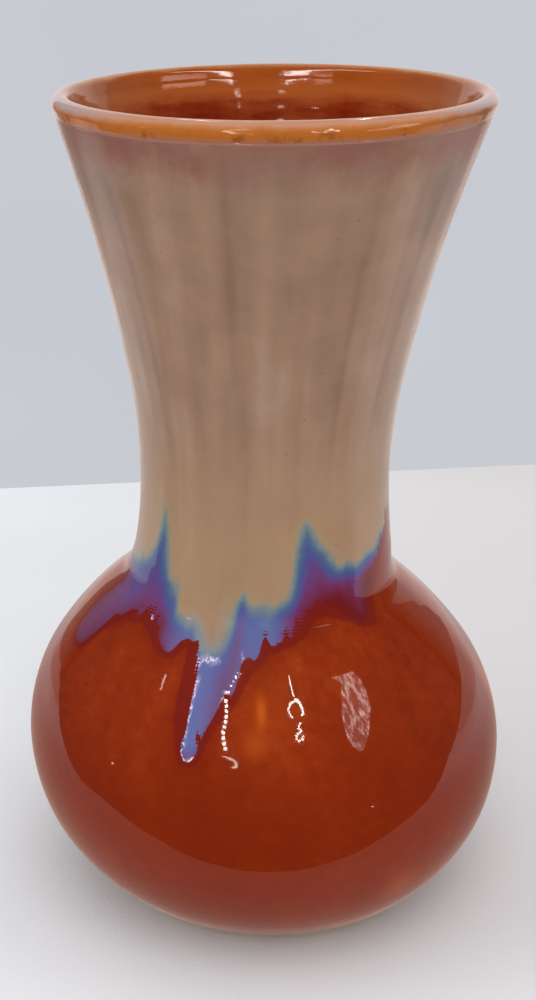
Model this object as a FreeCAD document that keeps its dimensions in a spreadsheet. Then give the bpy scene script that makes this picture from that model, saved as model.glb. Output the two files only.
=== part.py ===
import FreeCAD, Part
import math
import os

import Sketcher

# A glazed ceramic bud vase: round bulb, narrow neck, flared mouth, rounded lip and a bare foot ring.
# It stands on z = 0 with its axis on Z, and its front, where the longest run of glaze is, faces -Y.
# The wall's outline is five arcs, each tangent to the next: belly, shoulder, root, waist and flare.
# Every coat of glaze lies on that outline, so its surfaces are the same arcs moved out or in.

DRIVING = {
    # the clay wall
    "height": 180.0,
    "clay_wall": 2.8,
    "belly_radius": 53.8,
    "belly_up": 35.0,
    "belly_round": 38.1,
    "shoulder_round": 73.6,
    "shoulder_centre_up": 15.15,
    "root_round": 7.4,
    "waist_radius": 26.8,
    "waist_up": 99.5,
    "waist_round": 118.4,
    "flare_round": 368.0,
    "flare_centre_up": 54.65,
    # the bottom
    "floor_up": 7.0,
    "floor_round": 14.0,
    "foot_high": 3.0,
    "foot_radius": 32.5,
    "foot_width": 5.0,
    "recess_radius": 26.5,
    "recess_deep": 2.2,
    "foot_round": 0.6,
    # the coats of glaze
    "amber_coat": 0.4,
    "cream_coat": 0.5,
    "liner_coat": 0.3,
    "amber_low": 4.5,
    "rim_low": 176.0,
    "cream_high": 174.5,
    "cream_low": 50.0,
    "cream_edge": 75.0,
    "foot_glaze_radius": 25.0,
    # the runs of cream glaze
    "run_reach": 70.0,
    "run_root_up": 84.0,
}

# Each run of the cream coat down the shoulder: its turn about Z from the front in degrees,
# its width where it leaves the edge, the radius of its rounded tip, and the height of that tip.
RUNS = {
    "front_long": (344.5, 24.0, 2.6, 52.2),
    "front_short": (327.0, 12.0, 2.6, 68.0),
    "left": (287.5, 24.0, 6.0, 62.0),
    "front_right": (41.0, 16.0, 4.0, 72.6),
    "right": (126.0, 20.0, 4.5, 62.5),
    "back_right": (159.0, 18.0, 3.0, 57.5),
    "back": (197.0, 22.0, 5.0, 66.0),
    "back_left": (236.0, 18.0, 3.5, 60.0),
}

LOW_END, HIGH_END, CENTRE = 1, 2, 3
AXIS_OF_SKETCH = -2
ORIGIN_OF_SKETCH = -1


def make_sheet(doc):
    """The spreadsheet of driving dimensions, in millimetres and degrees."""
    sheet = doc.addObject("Spreadsheet::Sheet", "Sizes")
    cells = dict(DRIVING)
    for name, (turn, width, tip_round, tip_up) in RUNS.items():
        cells[name + "_run_turn"] = turn
        cells[name + "_run_width"] = width
        cells[name + "_run_tip_round"] = tip_round
        cells[name + "_run_tip_up"] = tip_up
    for row, (name, value) in enumerate(cells.items(), start=1):
        sheet.set(f"A{row}", name.replace("_", " "))
        sheet.set(f"B{row}", str(value))
        sheet.setAlias(f"B{row}", name)
    doc.recompute()
    return sheet


class Length:
    """A length as its value and as the formula of sheet cells that gives it."""

    def __init__(self, value, formula):
        self.value = value
        self.formula = formula

    @classmethod
    def of(cls, sheet, name):
        return cls(float(getattr(sheet, name)), "Sizes." + name)

    def __add__(self, other):
        return Length(self.value + other.value, f"({self.formula} + {other.formula})")

    def __sub__(self, other):
        return Length(self.value - other.value, f"({self.formula} - {other.formula})")

    def __truediv__(self, number):
        return Length(self.value / number, f"({self.formula} / {number})")


NOTHING = Length(0.0, "0")


def lengths_of(sheet):
    """Every cell of the sheet as a Length, by its alias."""
    names = list(DRIVING)
    for run in RUNS:
        names += [run + "_run_turn", run + "_run_width", run + "_run_tip_round", run + "_run_tip_up"]
    return {name: Length.of(sheet, name) for name in names}


def origin_plane(body, role):
    return next(plane for plane in body.Origin.OriginFeatures if plane.Role == role)


def new_body(doc, name):
    body = doc.addObject("PartDesign::Body", name)
    body.Label = name
    return body


def upright_sketch(body, name):
    """A sketch on the body's own XZ plane: across is the radius, up is the height."""
    sketch = body.newObject("Sketcher::SketchObject", name)
    sketch.AttachmentSupport = [(origin_plane(body, "XZ_Plane"), "")]
    sketch.MapMode = "FlatFace"
    return sketch


def size_rule(sketch, name, kind, where, length):
    """A sketch dimension bound to the sheet."""
    rule = sketch.addConstraint(Sketcher.Constraint(kind, *where, length.value))
    sketch.renameConstraint(rule, name)
    sketch.setExpression("Constraints." + name, length.formula)


def height_rule(sketch, name, curve, point, length):
    size_rule(sketch, name, "DistanceY", (ORIGIN_OF_SKETCH, 1, curve, point), length)


def radius_rule(sketch, name, curve, point, length):
    size_rule(sketch, name, "DistanceX", (ORIGIN_OF_SKETCH, 1, curve, point), length)


def join(sketch, kind, first, second):
    """Ties an end of one curve to an end of another. Each is (curve, end)."""
    sketch.addConstraint(Sketcher.Constraint(kind, *first, *second))


def add_line(sketch, start, end):
    line = Part.LineSegment(FreeCAD.Vector(*start, 0), FreeCAD.Vector(*end, 0))
    return sketch.addGeometry(line, False)


def point_at(centre, radius, angle):
    return (centre[0] + radius * math.cos(angle), centre[1] + radius * math.sin(angle))


def direction(start, end):
    return math.atan2(end[1] - start[1], end[0] - start[0])


def third_corner(first, second, to_first, to_second):
    """The point above the line first-second at the given distances from both."""
    base = math.dist(first, second)
    along = (base * base + to_first * to_first - to_second * to_second) / (2 * base)
    across = math.sqrt(to_first * to_first - along * along)
    turn = direction(first, second)
    return (
        first[0] + along * math.cos(turn) - across * math.sin(turn),
        first[1] + along * math.sin(turn) + across * math.cos(turn),
    )


def wall_centres(size):
    """The centres of the outline's five arcs, which every coat shares."""
    value = {name: length.value for name, length in size.items()}
    belly = (value["belly_radius"] - value["belly_round"], value["belly_up"])
    waist = (value["waist_radius"] + value["waist_round"], value["waist_up"])
    shoulder_down = belly[1] - value["shoulder_centre_up"]
    shoulder_back = math.sqrt((value["shoulder_round"] - value["belly_round"]) ** 2 - shoulder_down**2)
    shoulder = (belly[0] - shoulder_back, value["shoulder_centre_up"])
    flare_down = waist[1] - value["flare_centre_up"]
    flare_out = math.sqrt((value["flare_round"] - value["waist_round"]) ** 2 - flare_down**2)
    flare = (waist[0] + flare_out, value["flare_centre_up"])
    root = third_corner(
        shoulder,
        waist,
        value["shoulder_round"] + value["root_round"],
        value["waist_round"] - value["root_round"],
    )
    return {"belly": belly, "shoulder": shoulder, "root": root, "waist": waist, "flare": flare}


class WallLine:
    """The outline's five tangent arcs, moved out from the clay by grow, between two heights."""

    names = ("belly", "shoulder", "root", "waist", "flare")
    hollow = ("root", "waist", "flare")

    def __init__(self, sketch, size, grow, low, high, tag, names=names):
        self.sketch = sketch
        self.size = size
        self.tag = tag
        self.names = names
        self.centres = wall_centres(size)
        self.rounds = {name: self.round_of(name, grow) for name in WallLine.names}
        self.curves = {name: self.add_arc(name, low, high) for name in names}
        self.tie()

    def round_of(self, name, grow):
        """An arc's radius: a bulging arc grows with its coat, and a hollow one shrinks."""
        full = self.size[name + "_round"]
        return full - grow if name in self.hollow else full + grow

    def joint_angle(self, name, neighbour):
        """Where an arc meets its neighbour, seen from the arc's own centre."""
        centres = self.centres
        pair = {name, neighbour}
        if pair == {"belly", "shoulder"}:
            return direction(centres["shoulder"], centres["belly"])
        if pair == {"waist", "flare"}:
            return direction(centres["flare"], centres["waist"])
        if pair == {"root", "waist"}:
            return direction(centres["waist"], centres["root"])
        return direction(centres[name], centres[neighbour])

    def angle_at_height(self, name, height):
        """Where the arc passes a height: on its outer side, or on its inner side if it is hollow."""
        rise = math.asin((height - self.centres[name][1]) / self.rounds[name].value)
        return math.pi - rise if name in self.hollow else rise

    def add_arc(self, name, low, high):
        place = self.names.index(name)
        if place:
            at_low = self.joint_angle(name, self.names[place - 1])
        else:
            at_low = self.angle_at_height(name, low)
        if place < len(self.names) - 1:
            at_high = self.joint_angle(name, self.names[place + 1])
        else:
            at_high = self.angle_at_height(name, high)
        centre = FreeCAD.Vector(*self.centres[name], 0)
        circle = Part.Circle(centre, FreeCAD.Vector(0, 0, 1), self.rounds[name].value)
        start, end = (at_high, at_low) if name in self.hollow else (at_low, at_high)
        start %= 2 * math.pi
        end %= 2 * math.pi
        if end < start:
            start -= 2 * math.pi
        return self.sketch.addGeometry(Part.ArcOfCircle(circle, start, end), False)

    def end(self, name, side):
        """An arc's low or high end as (curve, end). A hollow arc is drawn from its high end."""
        if name in self.hollow:
            side = LOW_END if side == HIGH_END else HIGH_END
        return (self.curves[name], side)

    @property
    def low(self):
        return self.end(self.names[0], LOW_END)

    @property
    def high(self):
        return self.end(self.names[-1], HIGH_END)

    def tie(self):
        """Tangent joints, radii and centres. The root arc follows from the arcs beside it."""
        size = self.size
        for name, above in zip(self.names, self.names[1:]):
            join(self.sketch, "Tangent", self.end(name, HIGH_END), self.end(above, LOW_END))
        for name in self.names:
            curve = self.curves[name]
            label = f"{self.tag}_{name}"
            size_rule(self.sketch, label + "_round", "Radius", (curve,), self.rounds[name])
            if name == "belly":
                across = size["belly_radius"] - size["belly_round"]
                radius_rule(self.sketch, label + "_across", curve, CENTRE, across)
                height_rule(self.sketch, label + "_up", curve, CENTRE, size["belly_up"])
            if name == "waist":
                across = size["waist_radius"] + size["waist_round"]
                radius_rule(self.sketch, label + "_across", curve, CENTRE, across)
                height_rule(self.sketch, label + "_up", curve, CENTRE, size["waist_up"])
            if name == "shoulder":
                height_rule(self.sketch, label + "_up", curve, CENTRE, size["shoulder_centre_up"])
            if name == "flare":
                height_rule(self.sketch, label + "_up", curve, CENTRE, size["flare_centre_up"])
                if "waist" not in self.names:
                    self.place_lone_flare(curve, label)

    def place_lone_flare(self, curve, label):
        """Without the waist arc beside it, the flare's centre is placed by its own distance out."""
        across = Length(
            self.centres["flare"][0],
            "Sizes.waist_radius + Sizes.waist_round + sqrt((Sizes.flare_round - Sizes.waist_round)^2"
            " - (Sizes.waist_up - Sizes.flare_centre_up)^2)",
        )
        radius_rule(self.sketch, label + "_across", curve, CENTRE, across)


def curve_point(sketch, end):
    """Where an end of a curve is, as (across, up)."""
    point = sketch.getPoint(*end)
    return (point.x, point.y)


def close_across(sketch, first, second, name, height):
    """A level line that joins the ends of two outlines at a height."""
    line = add_line(sketch, curve_point(sketch, first), curve_point(sketch, second))
    join(sketch, "Coincident", (line, 1), first)
    join(sketch, "Coincident", (line, 2), second)
    sketch.addConstraint(Sketcher.Constraint("Horizontal", line))
    height_rule(sketch, name, line, 1, height)


def revolve(body, sketch):
    """One full turn of the sketch about the vase's axis."""
    turned = body.newObject("PartDesign::Revolution", "Turned")
    turned.Profile = sketch
    turned.ReferenceAxis = (sketch, ["V_Axis"])
    turned.Angle = 360.0
    sketch.Visibility = False
    return turned


def lip_arc(sketch, size, grow, outer, inner, tag):
    """The round of the lip, tangent to the outer and the inner flare."""
    radius = size["clay_wall"] / 2 + grow
    flare = wall_centres(size)["flare"]
    reach = size["flare_round"].value + size["clay_wall"].value / 2
    up = size["height"] - size["amber_coat"] - size["clay_wall"] / 2
    drop = up.value - flare[1]
    centre = (flare[0] - math.sqrt(reach * reach - drop * drop), up.value)
    outward = direction(centre, flare)
    circle = Part.Circle(FreeCAD.Vector(*centre, 0), FreeCAD.Vector(0, 0, 1), radius.value)
    arc = sketch.addGeometry(Part.ArcOfCircle(circle, outward, outward + math.pi), False)
    join(sketch, "Tangent", (arc, LOW_END), outer)
    join(sketch, "Tangent", (arc, HIGH_END), inner)
    height_rule(sketch, tag + "_lip_up", arc, CENTRE, up)
    return arc


def lip_joint_height(size, grow):
    """The height at which the lip's round meets a flare moved out by grow."""
    flare = wall_centres(size)["flare"]
    reach = size["flare_round"].value + size["clay_wall"].value / 2
    up = size["height"].value - size["amber_coat"].value - size["clay_wall"].value / 2
    rise = (up - flare[1]) / reach
    return flare[1] + rise * (size["flare_round"].value - grow.value)


def floor_arc(sketch, size, grow, belly, tag):
    """The round corner of the hollow's floor, tangent to the belly and to a level floor."""
    radius = size["floor_round"] + grow
    centres = wall_centres(size)
    up = size["floor_up"].value + size["floor_round"].value
    apart = size["belly_round"].value - size["clay_wall"].value - size["floor_round"].value
    drop = centres["belly"][1] - up
    centre = (centres["belly"][0] + math.sqrt(apart * apart - drop * drop), up)
    joint = direction(centres["belly"], centre)
    circle = Part.Circle(FreeCAD.Vector(*centre, 0), FreeCAD.Vector(0, 0, 1), radius.value)
    arc = sketch.addGeometry(Part.ArcOfCircle(circle, -math.pi / 2, joint), False)
    size_rule(sketch, tag + "_floor_round", "Radius", (arc,), radius)
    height_rule(sketch, tag + "_floor_centre_up", arc, CENTRE, size["floor_up"] + size["floor_round"])
    join(sketch, "Tangent", (arc, HIGH_END), belly)
    low = point_at(centre, radius.value, -math.pi / 2)
    level = add_line(sketch, (0, low[1]), low)
    join(sketch, "Tangent", (level, HIGH_END), (arc, LOW_END))
    sketch.addConstraint(Sketcher.Constraint("PointOnObject", level, 1, AXIS_OF_SKETCH))
    sketch.addConstraint(Sketcher.Constraint("Horizontal", level))
    return level


def hollow_low(size, grow):
    """The height at which the hollow's belly meets the round corner of its floor."""
    belly = wall_centres(size)["belly"]
    up = size["floor_up"].value + size["floor_round"].value
    apart = size["belly_round"].value - size["clay_wall"].value - size["floor_round"].value
    fall = (belly[1] - up) / apart
    return belly[1] - fall * (size["belly_round"].value + grow.value)


def foot_lines(sketch, size, wall_end, floor_line):
    """The foot ring, the recess inside it and the axis, from the wall's low end to the floor."""
    outer = size["foot_radius"].value
    inner = outer - size["foot_width"].value
    recess = size["recess_radius"].value
    deep = size["recess_deep"].value
    corners = [
        curve_point(sketch, wall_end),
        (outer, 0),
        (inner, 0),
        (recess, deep),
        (0, deep),
        (0, size["floor_up"].value),
    ]
    lines = [add_line(sketch, *ends) for ends in zip(corners, corners[1:])]
    side, rest, slope, ceiling, axis = lines
    join(sketch, "Coincident", (side, 1), wall_end)
    for line, following in zip(lines, lines[1:]):
        join(sketch, "Coincident", (line, 2), (following, 1))
    join(sketch, "Coincident", (axis, 2), (floor_line, 1))
    height_rule(sketch, "wall_low", side, 1, size["foot_high"])
    for line in (rest, ceiling):
        sketch.addConstraint(Sketcher.Constraint("Horizontal", line))
    sketch.addConstraint(Sketcher.Constraint("PointOnObject", rest, 1, ORIGIN_OF_SKETCH))
    sketch.addConstraint(Sketcher.Constraint("PointOnObject", axis, 1, AXIS_OF_SKETCH))
    radius_rule(sketch, "foot_outer", rest, 1, size["foot_radius"])
    radius_rule(sketch, "foot_inner", rest, 2, size["foot_radius"] - size["foot_width"])
    radius_rule(sketch, "recess_edge", slope, 2, size["recess_radius"])
    height_rule(sketch, "recess_up", slope, 2, size["recess_deep"])


def soften_foot(body, size):
    """Rounds the two edges on which the foot ring stands."""
    turned = body.Tip
    edges = [
        f"Edge{number}"
        for number, edge in enumerate(turned.Shape.Edges, start=1)
        if abs(edge.BoundBox.ZMax) < 1e-6 and edge.BoundBox.ZLength < 1e-6
    ]
    soft = body.newObject("PartDesign::Fillet", "SoftFoot")
    soft.Base = (turned, edges)
    soft.Radius = size["foot_round"].value
    soft.setExpression("Radius", size["foot_round"].formula)


def make_clay_body(doc, size):
    """The fired clay wall: one section, turned about the axis."""
    body = new_body(doc, "clay_body")
    sketch = upright_sketch(body, "ClaySection")
    inward = NOTHING - size["clay_wall"]
    outer_lip = lip_joint_height(size, NOTHING)
    inner_lip = lip_joint_height(size, inward)
    outer_wall = WallLine(sketch, size, NOTHING, size["foot_high"].value, outer_lip, "outer")
    inner_wall = WallLine(sketch, size, inward, hollow_low(size, inward), inner_lip, "inner")
    lip_arc(sketch, size, NOTHING, outer_wall.high, inner_wall.high, "clay")
    floor_line = floor_arc(sketch, size, NOTHING, inner_wall.low, "clay")
    foot_lines(sketch, size, outer_wall.low, floor_line)
    revolve(body, sketch)
    doc.recompute()
    soften_foot(body, size)
    return body


def make_coat(doc, size, name, under, over, low, high):
    """A coat on the outside of the wall, from one surface out to another, between two heights."""
    body = new_body(doc, name)
    sketch = upright_sketch(body, "CoatSection")
    back = WallLine(sketch, size, under, low.value, high.value, "under")
    face = WallLine(sketch, size, over, low.value, high.value, "over")
    close_across(sketch, back.low, face.low, "low_end", low)
    close_across(sketch, back.high, face.high, "high_end", high)
    revolve(body, sketch)
    return body


def make_amber_glaze(doc, size):
    """The base coat on the outside, from above the foot ring to the lip's coat."""
    over, low, high = size["amber_coat"], size["amber_low"], size["rim_low"]
    return make_coat(doc, size, "amber_glaze", NOTHING, over, low, high)


def make_liner_glaze(doc, size):
    """The coat inside the vase, from the lip's coat down the neck and across the hollow's floor."""
    body = new_body(doc, "liner_glaze")
    sketch = upright_sketch(body, "LinerSection")
    back_grow = NOTHING - size["clay_wall"]
    face_grow = back_grow - size["liner_coat"]
    top = size["rim_low"]
    back = WallLine(sketch, size, back_grow, hollow_low(size, back_grow), top.value, "back")
    face = WallLine(sketch, size, face_grow, hollow_low(size, face_grow), top.value, "face")
    close_across(sketch, back.high, face.high, "high_end", top)
    back_floor = floor_arc(sketch, size, NOTHING, back.low, "back")
    face_floor = floor_arc(sketch, size, NOTHING - size["liner_coat"], face.low, "face")
    axis = add_line(sketch, curve_point(sketch, (back_floor, 1)), curve_point(sketch, (face_floor, 1)))
    join(sketch, "Coincident", (axis, 1), (back_floor, 1))
    join(sketch, "Coincident", (axis, 2), (face_floor, 1))
    revolve(body, sketch)
    return body


def make_rim_glaze(doc, size):
    """The thin coat over the rounded lip, down to the coats inside and outside."""
    body = new_body(doc, "rim_glaze")
    sketch = upright_sketch(body, "RimSection")
    inward = NOTHING - size["clay_wall"]
    over, beyond = size["amber_coat"], inward - size["amber_coat"]
    low = size["rim_low"]

    def flare(grow, tag):
        high = lip_joint_height(size, grow)
        return WallLine(sketch, size, grow, low.value, high, tag, names=("flare",))

    clay_outside, clay_inside = flare(NOTHING, "clay_outside"), flare(inward, "clay_inside")
    face_outside, face_inside = flare(over, "face_outside"), flare(beyond, "face_inside")
    lip_arc(sketch, size, NOTHING, clay_outside.high, clay_inside.high, "clay")
    lip_arc(sketch, size, over, face_outside.high, face_inside.high, "face")
    close_across(sketch, clay_outside.low, face_outside.low, "outer_low", low)
    close_across(sketch, clay_inside.low, face_inside.low, "inner_low", low)
    revolve(body, sketch)
    return body


def make_foot_glaze(doc, size):
    """A thin disc of glaze on the ceiling of the recess inside the foot ring."""
    body = new_body(doc, "foot_glaze")
    sketch = body.newObject("Sketcher::SketchObject", "DiscOutline")
    sketch.AttachmentSupport = [(origin_plane(body, "XY_Plane"), "")]
    sketch.MapMode = "FlatFace"
    radius = size["foot_glaze_radius"]
    circle = Part.Circle(FreeCAD.Vector(0, 0, 0), FreeCAD.Vector(0, 0, 1), radius.value)
    disc = sketch.addGeometry(circle, False)
    join(sketch, "Coincident", (disc, CENTRE), (ORIGIN_OF_SKETCH, 1))
    size_rule(sketch, "disc_radius", "Radius", (disc,), radius)
    pad = body.newObject("PartDesign::Pad", "Disc")
    pad.Profile = sketch
    pad.setExpression("Length", size["liner_coat"].formula)
    sketch.Visibility = False
    under = size["recess_deep"] - size["liner_coat"]
    body.Placement = FreeCAD.Placement(FreeCAD.Vector(0, 0, under.value), FreeCAD.Rotation())
    body.setExpression("Placement.Base.z", under.formula)
    return body


def make_run(doc, size, name):
    """The block that one run fills: wide where it leaves the edge, with a rounded tip below."""
    body = new_body(doc, name + "_run")
    sketch = upright_sketch(body, "RunOutline")
    width = size[name + "_run_width"]
    tip_round = size[name + "_run_tip_round"]
    tip_up = size[name + "_run_tip_up"]
    root_up = size["run_root_up"]
    half = width.value / 2
    centre = (0, tip_up.value + tip_round.value)
    rise = root_up.value - centre[1]
    lean = math.atan2(rise, half) - math.acos(tip_round.value / math.hypot(half, rise))
    touch = point_at(centre, tip_round.value, lean)
    left_touch = (-touch[0], touch[1])
    circle = Part.Circle(FreeCAD.Vector(*centre, 0), FreeCAD.Vector(0, 0, 1), tip_round.value)
    tip = sketch.addGeometry(Part.ArcOfCircle(circle, -math.pi - lean, lean), False)
    right = add_line(sketch, touch, (half, root_up.value))
    top = add_line(sketch, (half, root_up.value), (-half, root_up.value))
    left = add_line(sketch, (-half, root_up.value), left_touch)
    join(sketch, "Tangent", (right, 1), (tip, HIGH_END))
    join(sketch, "Coincident", (right, 2), (top, 1))
    join(sketch, "Coincident", (top, 2), (left, 1))
    join(sketch, "Tangent", (left, 2), (tip, LOW_END))
    sketch.addConstraint(Sketcher.Constraint("Symmetric", top, 1, top, 2, AXIS_OF_SKETCH))
    sketch.addConstraint(Sketcher.Constraint("PointOnObject", tip, CENTRE, AXIS_OF_SKETCH))
    size_rule(sketch, "tip_round", "Radius", (tip,), tip_round)
    height_rule(sketch, "tip_centre_up", tip, CENTRE, tip_up + tip_round)
    height_rule(sketch, "root_up", top, 1, root_up)
    radius_rule(sketch, "half_width", top, 1, width / 2)
    pad = body.newObject("PartDesign::Pad", "Block")
    pad.Profile = sketch
    pad.setExpression("Length", size["run_reach"].formula)
    sketch.Visibility = False
    turn = size[name + "_run_turn"]
    body.Placement = FreeCAD.Placement(
        FreeCAD.Vector(0, 0, 0), FreeCAD.Rotation(FreeCAD.Vector(0, 0, 1), turn.value)
    )
    body.setExpression("Placement.Rotation.Angle", turn.formula)
    return body


def make_cream_glaze(doc, size):
    """The top coat over the neck: its full turned coat, kept only above the edge and in the runs."""
    under = size["amber_coat"]
    over = size["amber_coat"] + size["cream_coat"]
    full = make_coat(doc, size, "full_top_coat", under, over, size["cream_low"], size["cream_high"])
    neck = doc.addObject("Part::Cylinder", "NeckZone")
    neck.setExpression("Radius", "Sizes.run_reach")
    neck.setExpression("Height", "Sizes.height - Sizes.cream_edge")
    neck.setExpression("Placement.Base.z", "Sizes.cream_edge")
    zone = doc.addObject("Part::MultiFuse", "GlazedZone")
    zone.Shapes = [neck] + [make_run(doc, size, name) for name in RUNS]
    cream = doc.addObject("Part::Common", "cream_glaze")
    cream.Label = "cream_glaze"
    cream.Base = full
    cream.Tool = zone
    return cream


def check(doc, parts):
    """Stops if any object failed to build, or a part isn't one valid closed solid."""
    for item in doc.Objects:
        if {"Invalid", "Error"} & set(item.State):
            raise RuntimeError(f"{item.Label} failed: {item.State}")
        if item.TypeId == "Sketcher::SketchObject" and not item.FullyConstrained:
            raise RuntimeError(f"{item.Label} isn't fully constrained")
    for part in parts:
        shape = part.Shape
        if shape.isNull() or not shape.isValid() or len(shape.Solids) != 1:
            raise RuntimeError(f"{part.Label} isn't one valid solid")


def main():
    doc = FreeCAD.newDocument("BudVase")
    size = lengths_of(make_sheet(doc))
    parts = [
        make_clay_body(doc, size),
        make_amber_glaze(doc, size),
        make_cream_glaze(doc, size),
        make_rim_glaze(doc, size),
        make_liner_glaze(doc, size),
        make_foot_glaze(doc, size),
    ]
    doc.recompute()
    check(doc, parts)
    os.makedirs("parts", exist_ok=True)
    for part in parts:
        box = part.Shape.optimalBoundingBox(True, False)
        print(
            f"{part.Label}: {part.Shape.Volume / 1000:.2f} cm3,"
            f" radius {box.XMax:.2f}, height {box.ZMin:.2f} to {box.ZMax:.2f}"
        )
        part.Shape.exportStep(f"parts/{part.Label}.step")


main()
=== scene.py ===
import math

import bpy
import numpy as np
from mathutils import Euler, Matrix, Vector
from mathutils.kdtree import KDTree


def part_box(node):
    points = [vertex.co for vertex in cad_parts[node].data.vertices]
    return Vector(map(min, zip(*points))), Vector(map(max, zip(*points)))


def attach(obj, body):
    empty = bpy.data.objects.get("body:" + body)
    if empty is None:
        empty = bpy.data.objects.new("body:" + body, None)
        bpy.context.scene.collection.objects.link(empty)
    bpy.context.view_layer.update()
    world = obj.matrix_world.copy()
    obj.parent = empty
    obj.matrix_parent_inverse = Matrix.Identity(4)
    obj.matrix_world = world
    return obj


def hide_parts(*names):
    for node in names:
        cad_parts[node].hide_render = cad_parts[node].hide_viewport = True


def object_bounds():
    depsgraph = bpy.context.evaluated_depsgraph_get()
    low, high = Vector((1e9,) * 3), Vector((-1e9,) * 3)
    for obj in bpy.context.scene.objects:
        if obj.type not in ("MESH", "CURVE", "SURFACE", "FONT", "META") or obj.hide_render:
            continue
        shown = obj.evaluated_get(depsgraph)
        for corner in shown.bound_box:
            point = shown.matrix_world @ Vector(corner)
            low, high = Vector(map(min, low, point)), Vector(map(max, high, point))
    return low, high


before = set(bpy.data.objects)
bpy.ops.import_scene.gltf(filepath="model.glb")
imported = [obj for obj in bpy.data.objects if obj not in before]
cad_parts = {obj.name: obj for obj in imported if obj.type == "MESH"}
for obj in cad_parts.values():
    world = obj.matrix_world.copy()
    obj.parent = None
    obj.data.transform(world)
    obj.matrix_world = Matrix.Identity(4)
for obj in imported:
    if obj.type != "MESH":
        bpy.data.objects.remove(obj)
cad_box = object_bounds()

MM = 0.001
HEIGHT = cad_box[1].z

# The clay wall's outline, in millimetres: five arcs, each tangent to the next.
BELLY_RADIUS, BELLY_UP, BELLY_ROUND = 53.8, 35.0, 38.1
SHOULDER_ROUND, SHOULDER_CENTRE_UP = 73.6, 15.15
ROOT_ROUND = 7.4
WAIST_RADIUS, WAIST_UP, WAIST_ROUND = 26.8, 99.5, 118.4
FLARE_ROUND, FLARE_CENTRE_UP = 368.0, 54.65
CLAY_WALL = 2.8
LIP_CENTRE_UP = HEIGHT / MM - 0.4 - CLAY_WALL / 2
FOOT_HIGH, FOOT_RADIUS, FOOT_WIDTH = 3.0, 32.5, 5.0
RECESS_RADIUS, RECESS_DEEP = 26.5, 2.2
FLOOR_UP, FLOOR_ROUND = 7.0, 14.0

# The coats, in millimetres: how far each one's face stands from the clay.
AMBER_COAT, CREAM_COAT, LINER_COAT, RIM_COAT = 0.4, 0.45, 0.3, 0.42
AMBER_LOW, RIM_LOW, CREAM_HIGH = 4.5, 176.0, 176.5
CREAM_LOW = 50.0
# How deep the cream coat's face goes under the amber's where there is none of it, in mm.
SUNK = -0.12
# How the cream coat thickens from its edge: a gentle slope, and a small step over a short reach in mm.
EDGE_SLOPE, EDGE_STEP, EDGE_REACH = 0.005, 0.009, 0.3
# Width in mm of the band where blue turns to cream.
FRINGE = 4.2
# Radius in mm at which textures are laid round the wall.
RING_RADIUS = 30

# The wall isn't quite upright or round, as hand work isn't: (height, sideways shift) in mm.
LEAN = (
    (0, 0.95), (8, 0.55), (16, 0.15), (26, -0.35), (36, -0.85), (46, -1.35), (56, -1.85),
    (64, -2.25), (70, -2.5), (76, -2.25), (82, -1.6), (90, -1.4), (104, -1.45), (118, -1.35),
    (132, -1.25), (146, -1.1), (160, -0.9), (172, -0.6), (180, -0.4),
)
MOUTH_TILT_SIDE, MOUTH_TILT_BACK, MOUTH_SINK = 0.019, 0.0145, 0.4

# Lower edge of the cream coat on the amber: (turn from the front in degrees, height in mm).
COAT_EDGE = (
    (-180, 71), (-171, 68.5), (-163, 65.6), (-155, 69.5), (-146, 73.5), (-138, 70), (-130, 63),
    (-124, 59.8), (-118, 63), (-109, 71), (-100, 76.5), (-91, 79.5), (-85, 77), (-80.5, 71),
    (-77.5, 66), (-75, 63.4), (-70, 62.6), (-66, 63), (-63.5, 65.2), (-61, 67.8), (-58, 70.1),
    (-53, 71.5), (-45.5, 71.9), (-41, 71.2), (-36, 69.8), (-31.5, 68.8), (-29, 69), (-26.5, 70.5),
    (-24.4, 71.1), (-23.4, 70.2), (-22.5, 66), (-22, 61.4), (-21, 57.6), (-19.8, 54.2),
    (-18.3, 52.4), (-16.2, 52.2), (-14.2, 53.6), (-13.2, 56), (-12.1, 58.3), (-9.7, 60.8),
    (-6.5, 63.2), (-4.5, 65.6), (-2, 67.8), (0.8, 69.5), (4.5, 71.1), (9.8, 71.7), (14.8, 72.5),
    (18.8, 73.7), (23, 75.6), (26.5, 75.9), (33, 74.9), (38.8, 73.5), (42.5, 72.5), (47, 72.5),
    (51.5, 73.8), (54.5, 76.5), (60, 82), (68, 86), (77, 89), (86, 89.5),
    (95, 85), (103, 78.5), (111, 71), (118, 65), (125, 62.4), (132, 66), (140, 72.5), (147, 72),
    (153, 64), (158, 57.8), (163, 62), (171, 70), (180, 71),
)

# Where the coat becomes thick enough to turn from blue to cream.
CREAM_EDGE = (
    (-180, 93), (-171, 87), (-163, 84), (-155, 90), (-146, 98), (-138, 93), (-130, 82), (-124, 78),
    (-117, 84), (-106, 95), (-97, 93), (-88, 86), (-75, 81), (-65, 83.5), (-57.5, 87.5), (-53.3, 92.5),
    (-49.4, 98), (-46.6, 95), (-44.2, 89.5), (-42.5, 84), (-39, 80.7), (-36, 77.6), (-33, 76),
    (-26.5, 75), (-20.8, 73.6), (-15.4, 71.8), (-13.4, 74), (-12.4, 76.8), (-11.2, 79.8),
    (-7, 80.7), (2, 80.4), (9, 80.8), (11.3, 85), (12.3, 90.5), (14, 94.5), (16, 97.4),
    (18.5, 98.4), (22.5, 95.8), (26, 92), (31.5, 88.7), (36, 86.5), (43.5, 86), (52.5, 86.5),
    (62, 88.7), (71.5, 91.5), (80, 101), (90, 110), (100, 104), (108, 93), (116, 84), (125, 81),
    (133, 88), (142, 99), (150, 90), (158, 78), (165, 84), (173, 93), (180, 93),
)

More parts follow.
